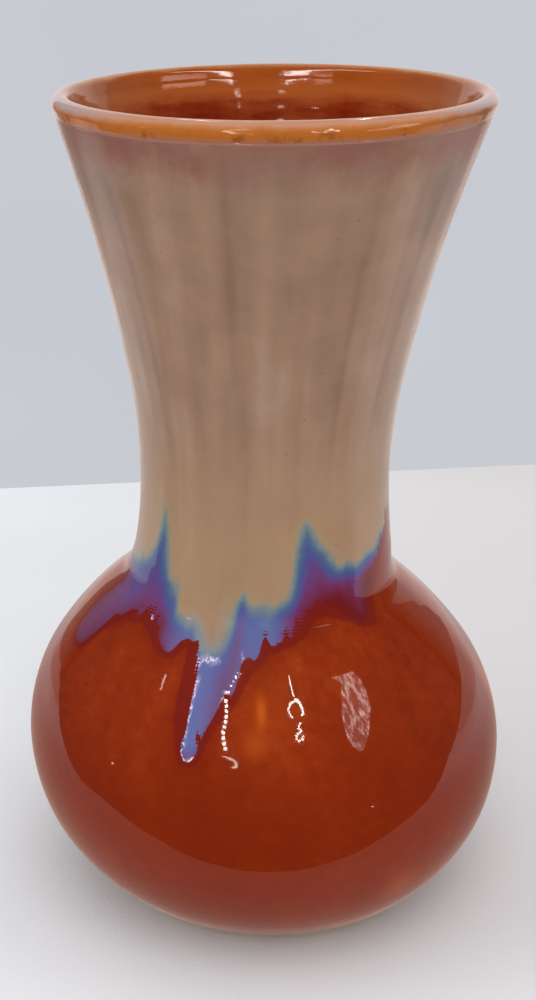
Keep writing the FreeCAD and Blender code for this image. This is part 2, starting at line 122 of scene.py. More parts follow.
# How thin the melted glass is between the two edges: 1 is thin and wine red, 0 thick and pale blue.
THIN_EDGE = (
    (-180, 0.6), (-163, 0.3), (-146, 0.8), (-124, 0.2), (-105, 0.8), (-80, 0.6), (-62, 0.55),
    (-50, 0.65), (-41, 0.75), (-34, 0.5), (-27, 0.12), (-17, 0.06), (-10, 0.3), (-6, 0.2),
    (4, 0.12), (10, 0.45), (15, 0.75), (23, 0.95), (38, 1.0), (50, 0.9), (60, 0.8), (75, 0.6),
    (95, 0.6), (110, 0.8), (125, 0.35), (145, 0.9), (158, 0.15), (170, 0.6), (180, 0.6),
)

# Blots that push the melt towards violet (below 0) or cream (above 0): turn, height, half width in
# degrees, half height in mm, push.
BLOTS = (
    (-7.4, 73.0, 1.7, 6.0, -0.34), (2.5, 74.5, 4.5, 3.5, 0.10), (-17.3, 57.0, 2.6, 4.0, 0.12),
    (-10.5, 65.5, 2.0, 3.5, -0.16), (-38, 76, 2.6, 7, -0.16), (17, 84, 3.0, 7, -0.12),
    (33, 77.5, 6, 3, -0.14), (-62, 76, 6, 6, 0.03), (-155, 80, 4, 5, -0.3), (121, 74, 4, 4, -0.3),
    (52, 82, 4, 5, -0.2), (158, 68, 3, 5, 0.10), (-25.5, 73, 1.6, 3, -0.10), (-16.5, 53.6, 3, 1.6, -0.14),
)

# Drips and thin places in the cream glaze of the neck, with a painted reflection as the paler streak at turn
# -58:
# turn at the middle, slant in degrees per mm, lowest and highest height, half width in degrees, and how much
# darker (below 0) or paler.
DRIPS_AND_SHEEN = (
    (-12, 0.02, 124, 174, 1.6, -0.12), (29, -0.03, 110, 172, 1.6, -0.10), (52, -0.08, 116, 172, 1.8, -0.16),
    (-47, 0.10, 104, 172, 1.8, -0.20), (42, 0.0, 100, 140, 8.0, 0.08), (50, 0.0, 156, 176, 12, -0.22),
    # The paler streak at turn -58 is a painted reflection on the neck's left.
    (-52, 0.0, 158, 176, 10, -0.12), (-34, 0.0, 84, 120, 5.0, 0.10), (-58, 0.02, 118, 142, 3.0, 0.22),
    (-8, 0.0, 74, 120, 20.0, -0.12), (32, 0.0, 98, 166, 9.0, 0.12),
    (13, 0.03, 92, 132, 2.5, -0.10), (-28, 0.02, 92, 128, 3.0, -0.08), (96, 0.05, 110, 170, 4, -0.15),
    (135, -0.04, 100, 168, 3, -0.18), (172, 0.05, 110, 172, 3, -0.14), (-150, 0.05, 100, 172, 3, -0.18),
    (-110, -0.04, 104, 170, 3.5, -0.16), (-88, 0.03, 120, 165, 4, 0.15),
)

# Fat drops where runs stopped: turn, height, size and extra thickness in mm.
DROPS = (
    (-17.4, 54.2, 2.2, 0.04), (-32.0, 70.2, 2.0, 0.04), (-72, 65.0, 4.5, 0.06), (42.5, 75.2, 3.2, 0.05),
    (125, 65.0, 4.0, 0.25), (158, 60, 3.0, 0.3), (-163, 68.3, 4.0, 0.2), (-124, 62.3, 3.2, 0.25),
)

# Thin orange places in the amber: turn, height, half width in degrees, half height in mm, strength.
THIN_PLACES = (
    (0.9, 62.2, 1.2, 2.4, 0.50), (-1.4, 57, 3.0, 2.4, 0.22), (2.5, 62, 6, 6, 0.10),
    (-62, 26, 4, 5, 0.2), (34, 20, 5, 5, 0.2),
    (85, 50, 4, 6, 0.5), (140, 40, 5, 6, 0.3), (-140, 48, 4, 7, 0.4), (-100, 30, 5, 5, 0.3),
)
AMBER_DROPS = ((-8.6, 53.6, 1.6, 0.06), (34, 30, 2.0, 0.05))

# Painted highlights on the front run, standing in for a window's reflection: lavender-white streaks with
# white cracks. Paths of (turn, height), each with its half width in mm.
PAINTED_GLINTS = (
    (
        ((-18.6, 69), (-19.6, 67), (-20.4, 65.4), (-20.7, 63.4), (-20.4, 60), (-19.7, 56.5), (-18.5, 53.4)),
        0.75,
    ),
    (((-17.8, 66.4), (-18.3, 62), (-18.6, 58.6), (-18.6, 55)), 0.60),
    (((-19, 69), (-16.5, 69.5), (-14.6, 69), (-12.2, 69.4)), 0.65),
    (((-18.2, 53.3), (-16.4, 53), (-13.9, 54)), 0.55),
    (((-5.2, 70.6), (-4.6, 69.6), (-3.8, 69.2)), 0.40),
    (((-45.5, 72.9), (-43.5, 72.2), (-42.2, 71.6)), 0.55),
)


# ---------------------------------------------------------------- outline


def heading(start, end):
    return math.atan2(end[1] - start[1], end[0] - start[0])


def arc_centres():
    """Centres of the belly, shoulder, root, waist and flare arcs, as (radius, height) in mm."""
    belly = (BELLY_RADIUS - BELLY_ROUND, BELLY_UP)
    waist = (WAIST_RADIUS + WAIST_ROUND, WAIST_UP)
    down = BELLY_UP - SHOULDER_CENTRE_UP
    shoulder = (belly[0] - math.sqrt((SHOULDER_ROUND - BELLY_ROUND) ** 2 - down**2), SHOULDER_CENTRE_UP)
    down = WAIST_UP - FLARE_CENTRE_UP
    flare = (waist[0] + math.sqrt((FLARE_ROUND - WAIST_ROUND) ** 2 - down**2), FLARE_CENTRE_UP)
    near, far = SHOULDER_ROUND + ROOT_ROUND, WAIST_ROUND - ROOT_ROUND
    apart = math.dist(shoulder, waist)
    along = (apart**2 + near**2 - far**2) / (2 * apart)
    turn = heading(shoulder, waist) + math.acos(along / near)
    root = (shoulder[0] + near * math.cos(turn), shoulder[1] + near * math.sin(turn))
    return belly, shoulder, root, waist, flare


def arc(centre, radius, start, end, step, facing):
    """Points and normals along an arc from one angle to another, as rows of r, z, nr, nz."""
    turn = np.linspace(start, end, max(3, int(abs(end - start) * radius / step)))
    out = np.stack([np.cos(turn), np.sin(turn)], 1)
    return np.hstack([np.array(centre) + radius * out, facing * out])


def outer_line(low, high, step, grow=0.0):
    """The clay's outer face between two heights, going up. grow moves it out along its normals."""
    belly, shoulder, root, waist, flare = arc_centres()
    to_belly = heading(shoulder, belly)
    to_root = heading(shoulder, root)
    from_waist = heading(waist, root) % (2 * math.pi)
    from_flare = heading(flare, waist) % (2 * math.pi)
    top = math.pi - math.asin((high - flare[1]) / (FLARE_ROUND - grow))
    bottom = math.asin(min(low - belly[1], 0) / (BELLY_ROUND + grow))
    runs = [
        arc(belly, BELLY_ROUND + grow, bottom, to_belly, step, 1),
        arc(shoulder, SHOULDER_ROUND + grow, to_belly, to_root, step, 1),
        arc(root, ROOT_ROUND - grow, to_root + math.pi, from_waist, step / 3, -1),
        arc(waist, WAIST_ROUND - grow, from_waist, from_flare, step, -1),
        arc(flare, FLARE_ROUND - grow, from_flare, top, step, -1),
    ]
    line = np.vstack([runs[0]] + [run[1:] for run in runs[1:]])
    return line[line[:, 1] > low - 0.001]


def inner_line(high, step):
    """The clay's inner face from a height down to the middle of the floor."""
    wall = outer_line(0.0, high, step, -CLAY_WALL)[::-1].copy()
    wall[:, 2:] *= -1
    belly = arc_centres()[0]
    corner_up = FLOOR_UP + FLOOR_ROUND
    apart = BELLY_ROUND - CLAY_WALL - FLOOR_ROUND
    corner = (belly[0] + math.sqrt(apart**2 - (belly[1] - corner_up) ** 2), corner_up)
    joint = heading(belly, corner)
    wall = wall[wall[:, 1] > corner_up + FLOOR_ROUND * math.sin(joint)]
    bend = arc(corner, FLOOR_ROUND, joint, -math.pi / 2, step, -1)
    across = np.linspace(corner[0], 0.0, max(3, int(corner[0] / step)))[1:]
    level = np.stack(np.broadcast_arrays(across, FLOOR_UP, 0, 1), 1)
    return np.vstack([wall, bend, level])


def lip_line(step):
    """Over the rounded lip, from the outer face to the inner face."""
    flare = arc_centres()[4]
    reach = FLARE_ROUND + CLAY_WALL / 2
    centre = (flare[0] - math.sqrt(reach**2 - (LIP_CENTRE_UP - flare[1]) ** 2), LIP_CENTRE_UP)
    outward = heading(centre, flare)
    return arc(centre, CLAY_WALL / 2, outward, outward + math.pi, step, 1)


def lip_joint_up(grow):
    """Height at which the lip's round meets the outer face moved out by grow."""
    flare = arc_centres()[4]
    rise = (LIP_CENTRE_UP - flare[1]) / (FLARE_ROUND + CLAY_WALL / 2)
    return flare[1] + rise * (FLARE_ROUND - grow)


def foot_section():
    """The foot from the middle of its recess out to the wall, with its edges rounded."""
    inner = FOOT_RADIUS - FOOT_WIDTH
    belly = arc_centres()[0]
    wall = belly[0] + math.sqrt(BELLY_ROUND**2 - (BELLY_UP - FOOT_HIGH) ** 2)
    middle, edge = ((radius, RECESS_DEEP) for radius in (RECESS_RADIUS - 2, RECESS_RADIUS))
    inner, outer, wall = (inner, 0), (FOOT_RADIUS, 0), (wall, FOOT_HIGH)
    rows = [(r, RECESS_DEEP, 0, -1) for r in np.linspace(2, RECESS_RADIUS - 0.8, 14)]
    rows += rounded(middle, edge, inner, 0.5)
    rows += rounded(edge, inner, outer, 0.6)
    rows += [(r, 0, 0, -1) for r in np.linspace(inner[0] + 1.2, FOOT_RADIUS - 1.4, 8)]
    rows += rounded(inner, outer, wall, 0.8)
    return np.array(rows)


def rounded(before, corner, after, cut):
    """A corner of the section turned as a small curve that starts and ends cut mm from it."""
    corner, before, after = (np.array(p, float) for p in (corner, before, after))
    start = corner + (before - corner) / np.linalg.norm(before - corner) * cut
    end = corner + (after - corner) / np.linalg.norm(after - corner) * cut
    rows = []
    for t in np.linspace(0, 1, 6):
        point = (1 - t) ** 2 * start + 2 * t * (1 - t) * corner + t * t * end
        way = 2 * (1 - t) * (corner - start) + 2 * t * (end - corner)
        way /= np.linalg.norm(way)
        rows.append((point[0], point[1], way[1], -way[0]))
    return rows


def thin_out(line, gap, fine_gap=0.0, coarse=(0, 0)):
    """Keeps rows of a line that are gap mm apart, or fine_gap outside the coarse heights, and both ends."""
    keep = [0]
    for i in range(1, len(line) - 1):
        least = gap if not fine_gap or coarse[0] <= line[i, 1] <= coarse[1] else fine_gap
        if math.dist(line[i, :2], line[keep[-1], :2]) >= least:
            keep.append(i)
    return line[keep + [len(line) - 1]]


# ---------------------------------------------------------------- fields over the surface


def lean(up):
    """How far the hand-made wall stands off its axis at a height, in mm."""
    return np.interp(up, *zip(*LEAN))


def tilted(up, x, y):
    """The height of a point once the mouth's slight tilt is given to it, in mm."""
    share = np.clip(up / 180.0, 0, 1) ** 3
    return up + share * (MOUTH_TILT_SIDE * x + MOUTH_TILT_BACK * y - MOUTH_SINK)


def even_turns(count):
    return np.linspace(-180, 180, count, endpoint=False)


def smooth(low, high, value):
    t = np.clip((value - low) / (high - low), 0, 1)
    return t * t * (3 - 2 * t)


def bell(value, middle, wide):
    return np.exp(-(((value - middle) / wide) ** 2))


def through(points, turns):
    """A smooth closed line through (turn, value) points, read at the given turns in degrees."""
    xs, ys = np.array(points, float).T
    gaps = np.diff(xs)
    rises = np.diff(ys) / gaps
    inner = rises[:-1] * rises[1:] > 0
    mean = 3 * (gaps[:-1] + gaps[1:])
    weight = (2 * gaps[1:] + gaps[:-1]) / np.where(inner, rises[:-1], 1)
    weight += (gaps[1:] + 2 * gaps[:-1]) / np.where(inner, rises[1:], 1)
    slopes = np.zeros(len(xs))
    slopes[1:-1] = np.where(inner, mean / weight, 0)
    turns = (np.asarray(turns, float) + 180) % 360 - 180
    place = np.clip(np.searchsorted(xs, turns, side="right") - 1, 0, len(gaps) - 1)
    gap = gaps[place]
    t = (turns - xs[place]) / gap
    start = (1 + 2 * t) * (1 - t) ** 2 * ys[place] + t * (1 - t) ** 2 * gap * slopes[place]
    end = t * t * (3 - 2 * t) * ys[place + 1] + t * t * (t - 1) * gap * slopes[place + 1]
    return start + end


def ripple(turns, ups, seed, rounds, rise, count=9):
    """Smooth waves over the wall, from -1 to 1: up to rounds waves round it, and rise waves per mm."""
    draw = np.random.default_rng(seed)
    total = np.zeros(np.broadcast(turns, ups).shape)
    for _ in range(count):
        waves = draw.integers(1, rounds + 1)
        climb = draw.normal(0, rise)
        phase = draw.uniform(0, 2 * math.pi)
        total += np.sin(np.radians(turns) * waves + ups * climb * 2 * math.pi + phase)
    return total / math.sqrt(count) / 1.6


def coat_edge(turns):
    """The cream coat's lower edge, with the small unevenness of melted glass."""
    return through(COAT_EDGE, turns) + 0.22 * ripple(turns, 0.0, 11, 70, 0)


def cream_edge(turns):
    return through(CREAM_EDGE, turns) + 0.5 * ripple(turns, 0.0, 12, 60, 0)


def spots(turns, ups, places):
    """The sum of soft spots: turn, height, half width in degrees, half height in mm, strength."""
    total = np.zeros(len(ups))
    for turn, up, wide, tall, strength in places:
        total += strength * np.exp(-(((turns - turn) / wide) ** 2) - ((ups - up) / tall) ** 2)
    return total


def drips_and_sheen(turns, ups):
    """Darker and paler streaks down the neck; the paler one at turn -58 is a painted reflection."""
    total = np.zeros(np.broadcast(turns, ups).shape)
    for turn, slant, low, high, wide, change in DRIPS_AND_SHEEN:
        middle = turn + slant * ((low + high) / 2 - ups)
        ends = smooth(low - 6, low + 8, ups) * smooth(high + 6, high - 8, ups)
        total += change * ends * bell(turns, middle, wide)
    return total


def frost(turns, ups):
    """How much painted highlight there is at points on the wall, 0 to 1."""
    along = BELLY_RADIUS * math.radians(1)
    total = np.zeros(turns.shape)
    for path, wide in PAINTED_GLINTS:
        for (turn_a, up_a), (turn_b, up_b) in zip(path, path[1:]):
            step = np.array([(turn_b - turn_a) * along, up_b - up_a])
            x, y = (turns - turn_a) * along, ups - up_a
            share = np.clip((x * step[0] + y * step[1]) / (step @ step), 0, 1)
            away = (x - share * step[0]) ** 2 + (y - share * step[1]) ** 2
            total = np.maximum(total, np.exp(-away / wide**2))
    return total


def milky(turns, ups, inside):
    """Where the thick low runs turn a milky blue, 0 to 1."""
    low_down = smooth(81, 73, ups) * smooth(50, 57, ups)
    return (1 - through(THIN_EDGE, turns)) ** 2 * smooth(0.4, 1.8, inside) * low_down


def drop_relief(line, turns, drops):
    """Extra thickness in mm where runs stopped in a fat drop."""
    base = true_points(line, turns)
    total = np.zeros(base.shape[:2])
    for turn, up, size, extra in drops:
        radius = line[np.argmin(np.abs(line[:, 1] - up)), 0]
        bearing = math.radians(turn)
        middle = np.array([radius * math.sin(bearing), -radius * math.cos(bearing), up])
        total += extra * np.exp(-(((base - middle) ** 2).sum(-1)) / size**2)
    return total


class Melt:
    """How far the cream coat has melted into the amber, at points on the wall."""

    def __init__(self):
        self.lower = self.tree(coat_edge)
        self.upper = self.tree(cream_edge)

    def tree(self, edge):
        """The edge as points on the wall, close together, for measuring distances to it."""
        turns = even_turns(3600)
        ups = edge(turns)
        wall = outer_line(AMBER_LOW, RIM_LOW, 0.4, AMBER_COAT)
        radii = np.interp(ups, wall[:, 1], wall[:, 0])
        bearing = np.radians(turns)
        tree = KDTree(len(turns))
        for i, point in enumerate(np.stack([radii * np.sin(bearing), -radii * np.cos(bearing), ups], 1)):
            tree.insert(point, i)
        tree.balance()
        return tree

    def above(self, turns, points, edge, tree):
        """How far points are from an edge in mm: above it is positive."""
        away = np.array([tree.find(point)[2] for point in points])
        return np.where(points[:, 2] > edge(turns), away, -away)

    def read(self, turns, points):
        """Distance inside the lower edge in mm, and melt: 0 at that edge and 1 where cream begins."""
        inside = self.above(turns, points, coat_edge, self.lower)
        beyond = self.above(turns, points, cream_edge, self.upper)
        share = inside / np.maximum(inside - beyond, 1e-6)
        share = np.where(beyond > 0, 1.0 + beyond / 40.0, np.clip(share, -1, 1))
        thin = through(THIN_EDGE, turns)
        fringe = np.clip(1.0 + beyond / FRINGE, 0, 1)
        body = (0.74 - 0.10 * thin) * np.abs(share) ** (0.22 + 0.82 * thin)
        between = (share > 0) & (share < 1)
        melt = np.where(between, body + (1 - body) * fringe, share)
        melt = np.maximum(melt, 0.52 * (1 - thin) ** 2 * smooth(0.1, 1.5, inside))
        melt = melt + spots(turns, points[:, 2], BLOTS) * smooth(0.0, 1.2, inside)
        return inside, np.where(inside < 0, np.maximum(inside / 3.0, -1.0), melt)


# ---------------------------------------------------------------- meshes


def turned(radii, ups, turns):
    """A grid of points at radii and heights, turned about the axis."""
    bearing = np.radians(turns)[None, :]
    return np.stack(np.broadcast_arrays(radii * np.sin(bearing), -radii * np.cos(bearing), ups), -1)


def true_points(line, turns, offset=AMBER_COAT):
    """Grid of points: the line's rows turned about the axis and moved out along normals by offset."""
    return turned(line[:, 0:1] + line[:, 2:3] * offset, line[:, 1:2] + line[:, 3:4] * offset, turns)


def wall_points(line, turns, offset):
    """The same grid with the hand-made wall's lean and tilt."""
    x, y, up = np.moveaxis(true_points(line, turns, offset), -1, 0)
    x = x + lean(up)
    return np.stack([x, y, tilted(up, x, y)], -1)


def ring_points(turns, *lines):
    """Places on the wall that don't change as it widens: the bearing's point, and the height, in metres."""
    return np.concatenate([turned(RING_RADIUS, line[:, 1:2], turns) * MM for line in lines])


def grid_faces(rows, columns, close_rows=False):
    """Quads of a grid that closes on itself round the axis, and from last row to first if asked."""
    low = np.arange(rows if close_rows else rows - 1)[:, None]
    across = np.arange(columns)[None, :]
    beside, high = (across + 1) % columns, (low + 1) % rows
    corners = [(low, across), (low, beside), (high, beside), (high, across)]
    return np.stack([row * columns + column for row, column in corners], -1).reshape(-1, 4)


def with_poles(points, faces, columns, first, last):
    """Closes the two ends of a grid that run to the axis, with one point each."""
    count = points.size // 3
    base = count - columns
    fans = [(count, (i + 1) % columns, i) for i in range(columns)]
    fans += [(count + 1, base + i, base + (i + 1) % columns) for i in range(columns)]
    return np.vstack([points.reshape(-1, 3), first, last]), [*faces, *fans]


def closed_shell(face, back, turns, offset):
    """Points and faces of a coat: its face going one way and its back returning on the clay."""
    points = np.concatenate([wall_points(face, turns, offset), wall_points(back[::-1], turns, 0.0)])
    return points, grid_faces(len(points), len(turns), close_rows=True)


def add_piece(node, slot, material, points, faces, **attributes):
    """A smooth piece from points in mm, with a number or a vector per point for each attribute."""
    mesh = bpy.data.meshes.new("vase_" + node)
    mesh.from_pydata((points.reshape(-1, 3) * MM).tolist(), [], [list(f) for f in faces])
    for key, values in attributes.items():
        values = np.asarray(values, np.float32)
        vector = values.ndim > 1 and values.shape[-1] == 3
        layer = mesh.attributes.new(key, "FLOAT_VECTOR" if vector else "FLOAT", "POINT")
        layer.data.foreach_set("vector" if vector else "value", values.reshape(-1))
    mesh.validate()
    mesh.shade_smooth()
    mesh.materials.append(material)
    piece = bpy.data.objects.new("vase_" + node, mesh)
    bpy.context.scene.collection.objects.link(piece)
    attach(piece, "root")
    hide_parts(node)


def make_clay_body(material):
    """The fired clay wall, whole: foot ring, outer face, lip, hollow and floor."""
    turns = even_turns(240)
    outer = thin_out(outer_line(FOOT_HIGH, lip_joint_up(0), 0.5), 2.0)
    inner = thin_out(inner_line(lip_joint_up(-CLAY_WALL), 0.5), 2.5)
    line = np.vstack([foot_section(), outer, lip_line(0.5)[1:-1], inner[:-1]])
    radii, ups, _, facing_up = line.T[:, :, None]
    bare = smooth(6.0, 4.0, ups) * (radii > 20) * (facing_up > -0.99)
    grain = 0.10 * ripple(turns[None, :], ups + radii, 31, 90, 0.3, 24)
    points = wall_points(line, turns, grain * bare)
    poles = [(lean(up), 0, up) for up in (RECESS_DEEP, FLOOR_UP)]
    points, faces = with_poles(points, grid_faces(len(line), len(turns)), len(turns), *poles)
    add_piece("clay_body", "fired_clay", material, points, faces)


def amber_relief(turns, ups):
    """Slow sags and small dimples in the amber glass, in mm."""
    return 0.032 * ripple(turns, ups, 21, 24, 0.006, 14) + 0.003 * ripple(turns, ups, 22, 70, 0.05, 24)


def make_amber_glaze(material, melts):
    """The amber base coat over the whole outside, from above the foot up to the lip."""
    turns = even_turns(420)
    line = thin_out(outer_line(AMBER_LOW, RIM_LOW + 0.8, 0.1), 1.5, 0.75, (84, 174))
    back = thin_out(line, 4.0)
    ups = line[:, 1:2]
    offset = AMBER_COAT + amber_relief(turns[None, :], ups)
    low_end = AMBER_LOW + 0.5 + 0.4 * ripple(turns, 0.0, 23, 40, 0)[None, :]
    offset = offset * smooth(low_end - 1.0, low_end + 0.6, ups) + 0.02
    offset += 0.18 * bell(ups, low_end + 1.4, 1.1)
    offset = np.where(ups > RIM_LOW - 3, np.minimum(offset, AMBER_COAT), offset)
    offset = offset - 0.3 * smooth(RIM_LOW + 0.3, RIM_LOW + 0.9, ups)
    offset = offset + drop_relief(line, turns, AMBER_DROPS)
    points, faces = closed_shell(line, back, turns, offset)
    base = true_points(line, turns).reshape(-1, 3)
    base_turns = np.tile(turns, len(line))
    inside = np.full(len(base), -50.0)
    near = (base[:, 2] > CREAM_LOW) & (base[:, 2] < 90)
    inside[near] = melts.read(base_turns[near], base[near])[0]
    behind = np.zeros(len(back) * len(turns))
    glow = np.clip(spots(base_turns, base[:, 2], THIN_PLACES), 0, 1)
    add_piece(
        "amber_glaze", "amber_glaze", material, points, faces,
        inside=np.concatenate([inside, behind - 50]),
        glow=np.concatenate([glow, behind]),
        ring=ring_points(turns, line, back[::-1]),
    )


def cream_thickness(line, turns, ups, inside):
    """How far the cream coat's face stands from the amber's, in mm. It sinks beyond the coat's edge."""
    full = CREAM_COAT * (1 - 0.45 * smooth(84, 96, ups))
    full = full + 0.02 * bell(turns, -20, 4.5) * smooth(76, 66, ups)
    within = np.maximum(inside, 0)
    thick = full * (1 - np.exp(-EDGE_SLOPE * within / full)) + EDGE_STEP * (1 - np.exp(-within / EDGE_REACH))
    thick = thick * (1 + 0.12 * ripple(turns, ups, 41, 40, 0.004, 14))
    thick = thick + drop_relief(line, turns[0], DROPS) * smooth(0, 2.5, inside)
    thick = thick + 0.008 * ripple(turns, ups, 42, 110, 0.05, 24) * smooth(0, 2, inside)
    thick = thick * smooth(CREAM_HIGH + 0.5, RIM_LOW - 5.0, ups) + 0.08 * np.clip(inside, -1, 0)
    sunk = (inside <= -0.7) | (ups > CREAM_HIGH - 0.2)
    return np.where(sunk, SUNK, np.maximum(thick, SUNK))


def make_cream_glaze(material, melts):
    """The cream top coat: a shell whose face and back join where the coat ends."""
    turns = even_turns(480)
    line = thin_out(outer_line(CREAM_LOW, CREAM_HIGH, 0.1), 3.2, 0.6, (100, 170))
    shape = rows, columns = len(line), len(turns)
    ups = np.broadcast_to(line[:, 1:2], shape)
    all_turns = np.broadcast_to(turns, shape)
    inside, melt = melts.read(all_turns.reshape(-1), true_points(line, turns).reshape(-1, 3))
    inside = inside.reshape(shape)
    top = AMBER_COAT + amber_relief(turns[None, :], ups) * smooth(100, 80, ups)
    top = top + drop_relief(line, turns, AMBER_DROPS)
    face = wall_points(line, turns, top + cream_thickness(line, all_turns, ups, inside))
    rear = wall_points(line, turns, top + SUNK)
    kept = (inside > -0.7).reshape(-1)
    count = rows * columns
    quads = grid_faces(rows, columns)
    quads = quads[kept[quads].any(axis=1)]
    last = count - columns + np.arange(columns)
    beside = count - columns + (np.arange(columns) + 1) % columns
    end = np.stack([last, beside, beside + count, last + count], 1)
    faces = np.concatenate([quads, quads[:, ::-1] + count, end])
    joined = np.arange(2 * count)
    joined[count:][~kept] = np.arange(count)[~kept]
    used, faces = np.unique(joined[faces], return_inverse=True)

    def both(field):
        return np.concatenate([field.reshape(-1), field.reshape(-1)])[used]

    add_piece(
        "cream_glaze", "cream_glaze", material,
        np.concatenate([face.reshape(-1, 3), rear.reshape(-1, 3)])[used],
        faces.reshape(-1, 4),
        melt=both(melt),
        # Drips, with a painted reflection streak among them.
        drip=both(drips_and_sheen(all_turns, ups)),
        # Painted highlights on the front run, per point.
        frost=both(frost(all_turns, ups)),
        blue=both(milky(all_turns, ups, inside)),
        ring=ring_points(turns, line, line).reshape(-1, 3)[used],
    )


def make_rim_glaze(material):
    """The thin coat over the lip."""
    turns = even_turns(480)
    outside = outer_line(RIM_LOW - 0.6, lip_joint_up(0), 0.25)
    down = inner_line(lip_joint_up(-CLAY_WALL), 0.25)
    line = np.vstack([outside, lip_line(0.12)[1:-1], down[down[:, 1] >= RIM_LOW - 0.6]])
    back = thin_out(line, 0.8)
    across = np.linspace(0, 1, len(line))[:, None]
    uneven = 0.02 * ripple(turns[None, :], across * 10, 51, 36, 0.05, 18)
    ends = smooth(0, 0.08, across) * smooth(1, 0.85, across)
    offset = RIM_COAT - 0.20 * smooth(0.08, 0, across) + 0.03 - 0.07 * smooth(0.84, 1, across)
    points, faces = closed_shell(line, back, turns, offset + uneven * ends)
    lengths = np.concatenate([[0], np.cumsum(np.hypot(*np.diff(line[:, :2], axis=0).T))])
    share = np.repeat(lengths / lengths[-1], len(turns))
    share = np.concatenate([share, np.zeros(len(back) * len(turns))])
    ring = ring_points(turns, line, back[::-1])
    add_piece("rim_glaze", "rim_glaze", material, points, faces, across=share, ring=ring)


def make_liner_glaze(material):
    """The amber coat inside, from the lip's coat down to the middle of the floor."""
    turns = even_turns(300)
    line = thin_out(inner_line(RIM_LOW + 2.0, 0.2), 1.3, 0.3, (0, RIM_LOW - 1))[:-1]
    ups, radii = line[:, 1:2], line[:, 0:1]
    ridges = 0.10 * np.sin(2 * math.pi * (ups / 5.3 + 0.15 * ripple(turns[None, :], ups, 61, 3, 0.01)))
    pools = 0.06 * ripple(turns[None, :], ups, 62, 24, 0.01, 14) * smooth(30, 70, ups)
    fade = smooth(RIM_LOW, RIM_LOW - 6, ups) * smooth(4, 16, radii)
    offset = LINER_COAT + (RIM_COAT - LINER_COAT) * smooth(RIM_LOW - 5, RIM_LOW, ups)
    offset = offset - 0.3 * smooth(RIM_LOW + 1.2, RIM_LOW + 1.9, ups)
    face = wall_points(line, turns, offset + (ridges + pools) * fade)
    back = thin_out(line, 5.0)[::-1]
    points = np.concatenate([wall_points(back, turns, 0.0), face])
    poles = [(lean(FLOOR_UP), 0, up) for up in (FLOOR_UP, FLOOR_UP + LINER_COAT)]
    points, faces = with_poles(points, grid_faces(len(points), len(turns)), len(turns), *poles)
    ring = np.vstack([ring_points(turns, back, line).reshape(-1, 3), np.zeros((2, 3))])
    add_piece("liner_glaze", "liner_glaze", material, points, faces, ring=ring)


def make_foot_glaze(material):
    """The disc of amber glass in the recess under the vase, with a thick uneven edge."""
    turns = even_turns(240)
    low, high = (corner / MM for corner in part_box("foot_glaze"))
    radius = high.x
    edge = 3 * np.sin(np.linspace(0.1, math.pi / 2, 14))
    reach = np.concatenate([np.linspace(2, radius - 3, 14), radius - 3 + edge])[:, None]
    radii = reach + 0.35 * ripple(turns, 0.0, 71, 30, 0)[None, :] * smooth(radius - 6, radius, reach)
    sag = 0.05 * ripple(turns[None, :], reach * 2, 72, 6, 0.01) * smooth(0, 10, reach)
    thick = (high.z - low.z) * np.sqrt(np.clip(1 - (reach / radius) ** 14, 0, 1))
    face = turned(radii, high.z - thick * (1 + sag), turns)
    rear = turned(radii, high.z, turns)[::-1]
    points = np.concatenate([face, rear]) + np.array([lean(RECESS_DEEP), 0, 0])
    poles = [(lean(RECESS_DEEP), 0, up) for up in (low.z, high.z)]
    faces = grid_faces(len(points), len(turns))[:, ::-1]
    points, faces = with_poles(points, faces, len(turns), *poles)
    add_piece("foot_glaze", "amber_glaze", material, points, faces)


# ---------------------------------------------------------------- materials


def screen(colour):
    """A screen colour of 0..255 values as linear light."""
    shares = [c / 255 for c in colour]
    return tuple(s / 12.92 if s <= 0.04045 else ((s + 0.055) / 1.055) ** 2.4 for s in shares)


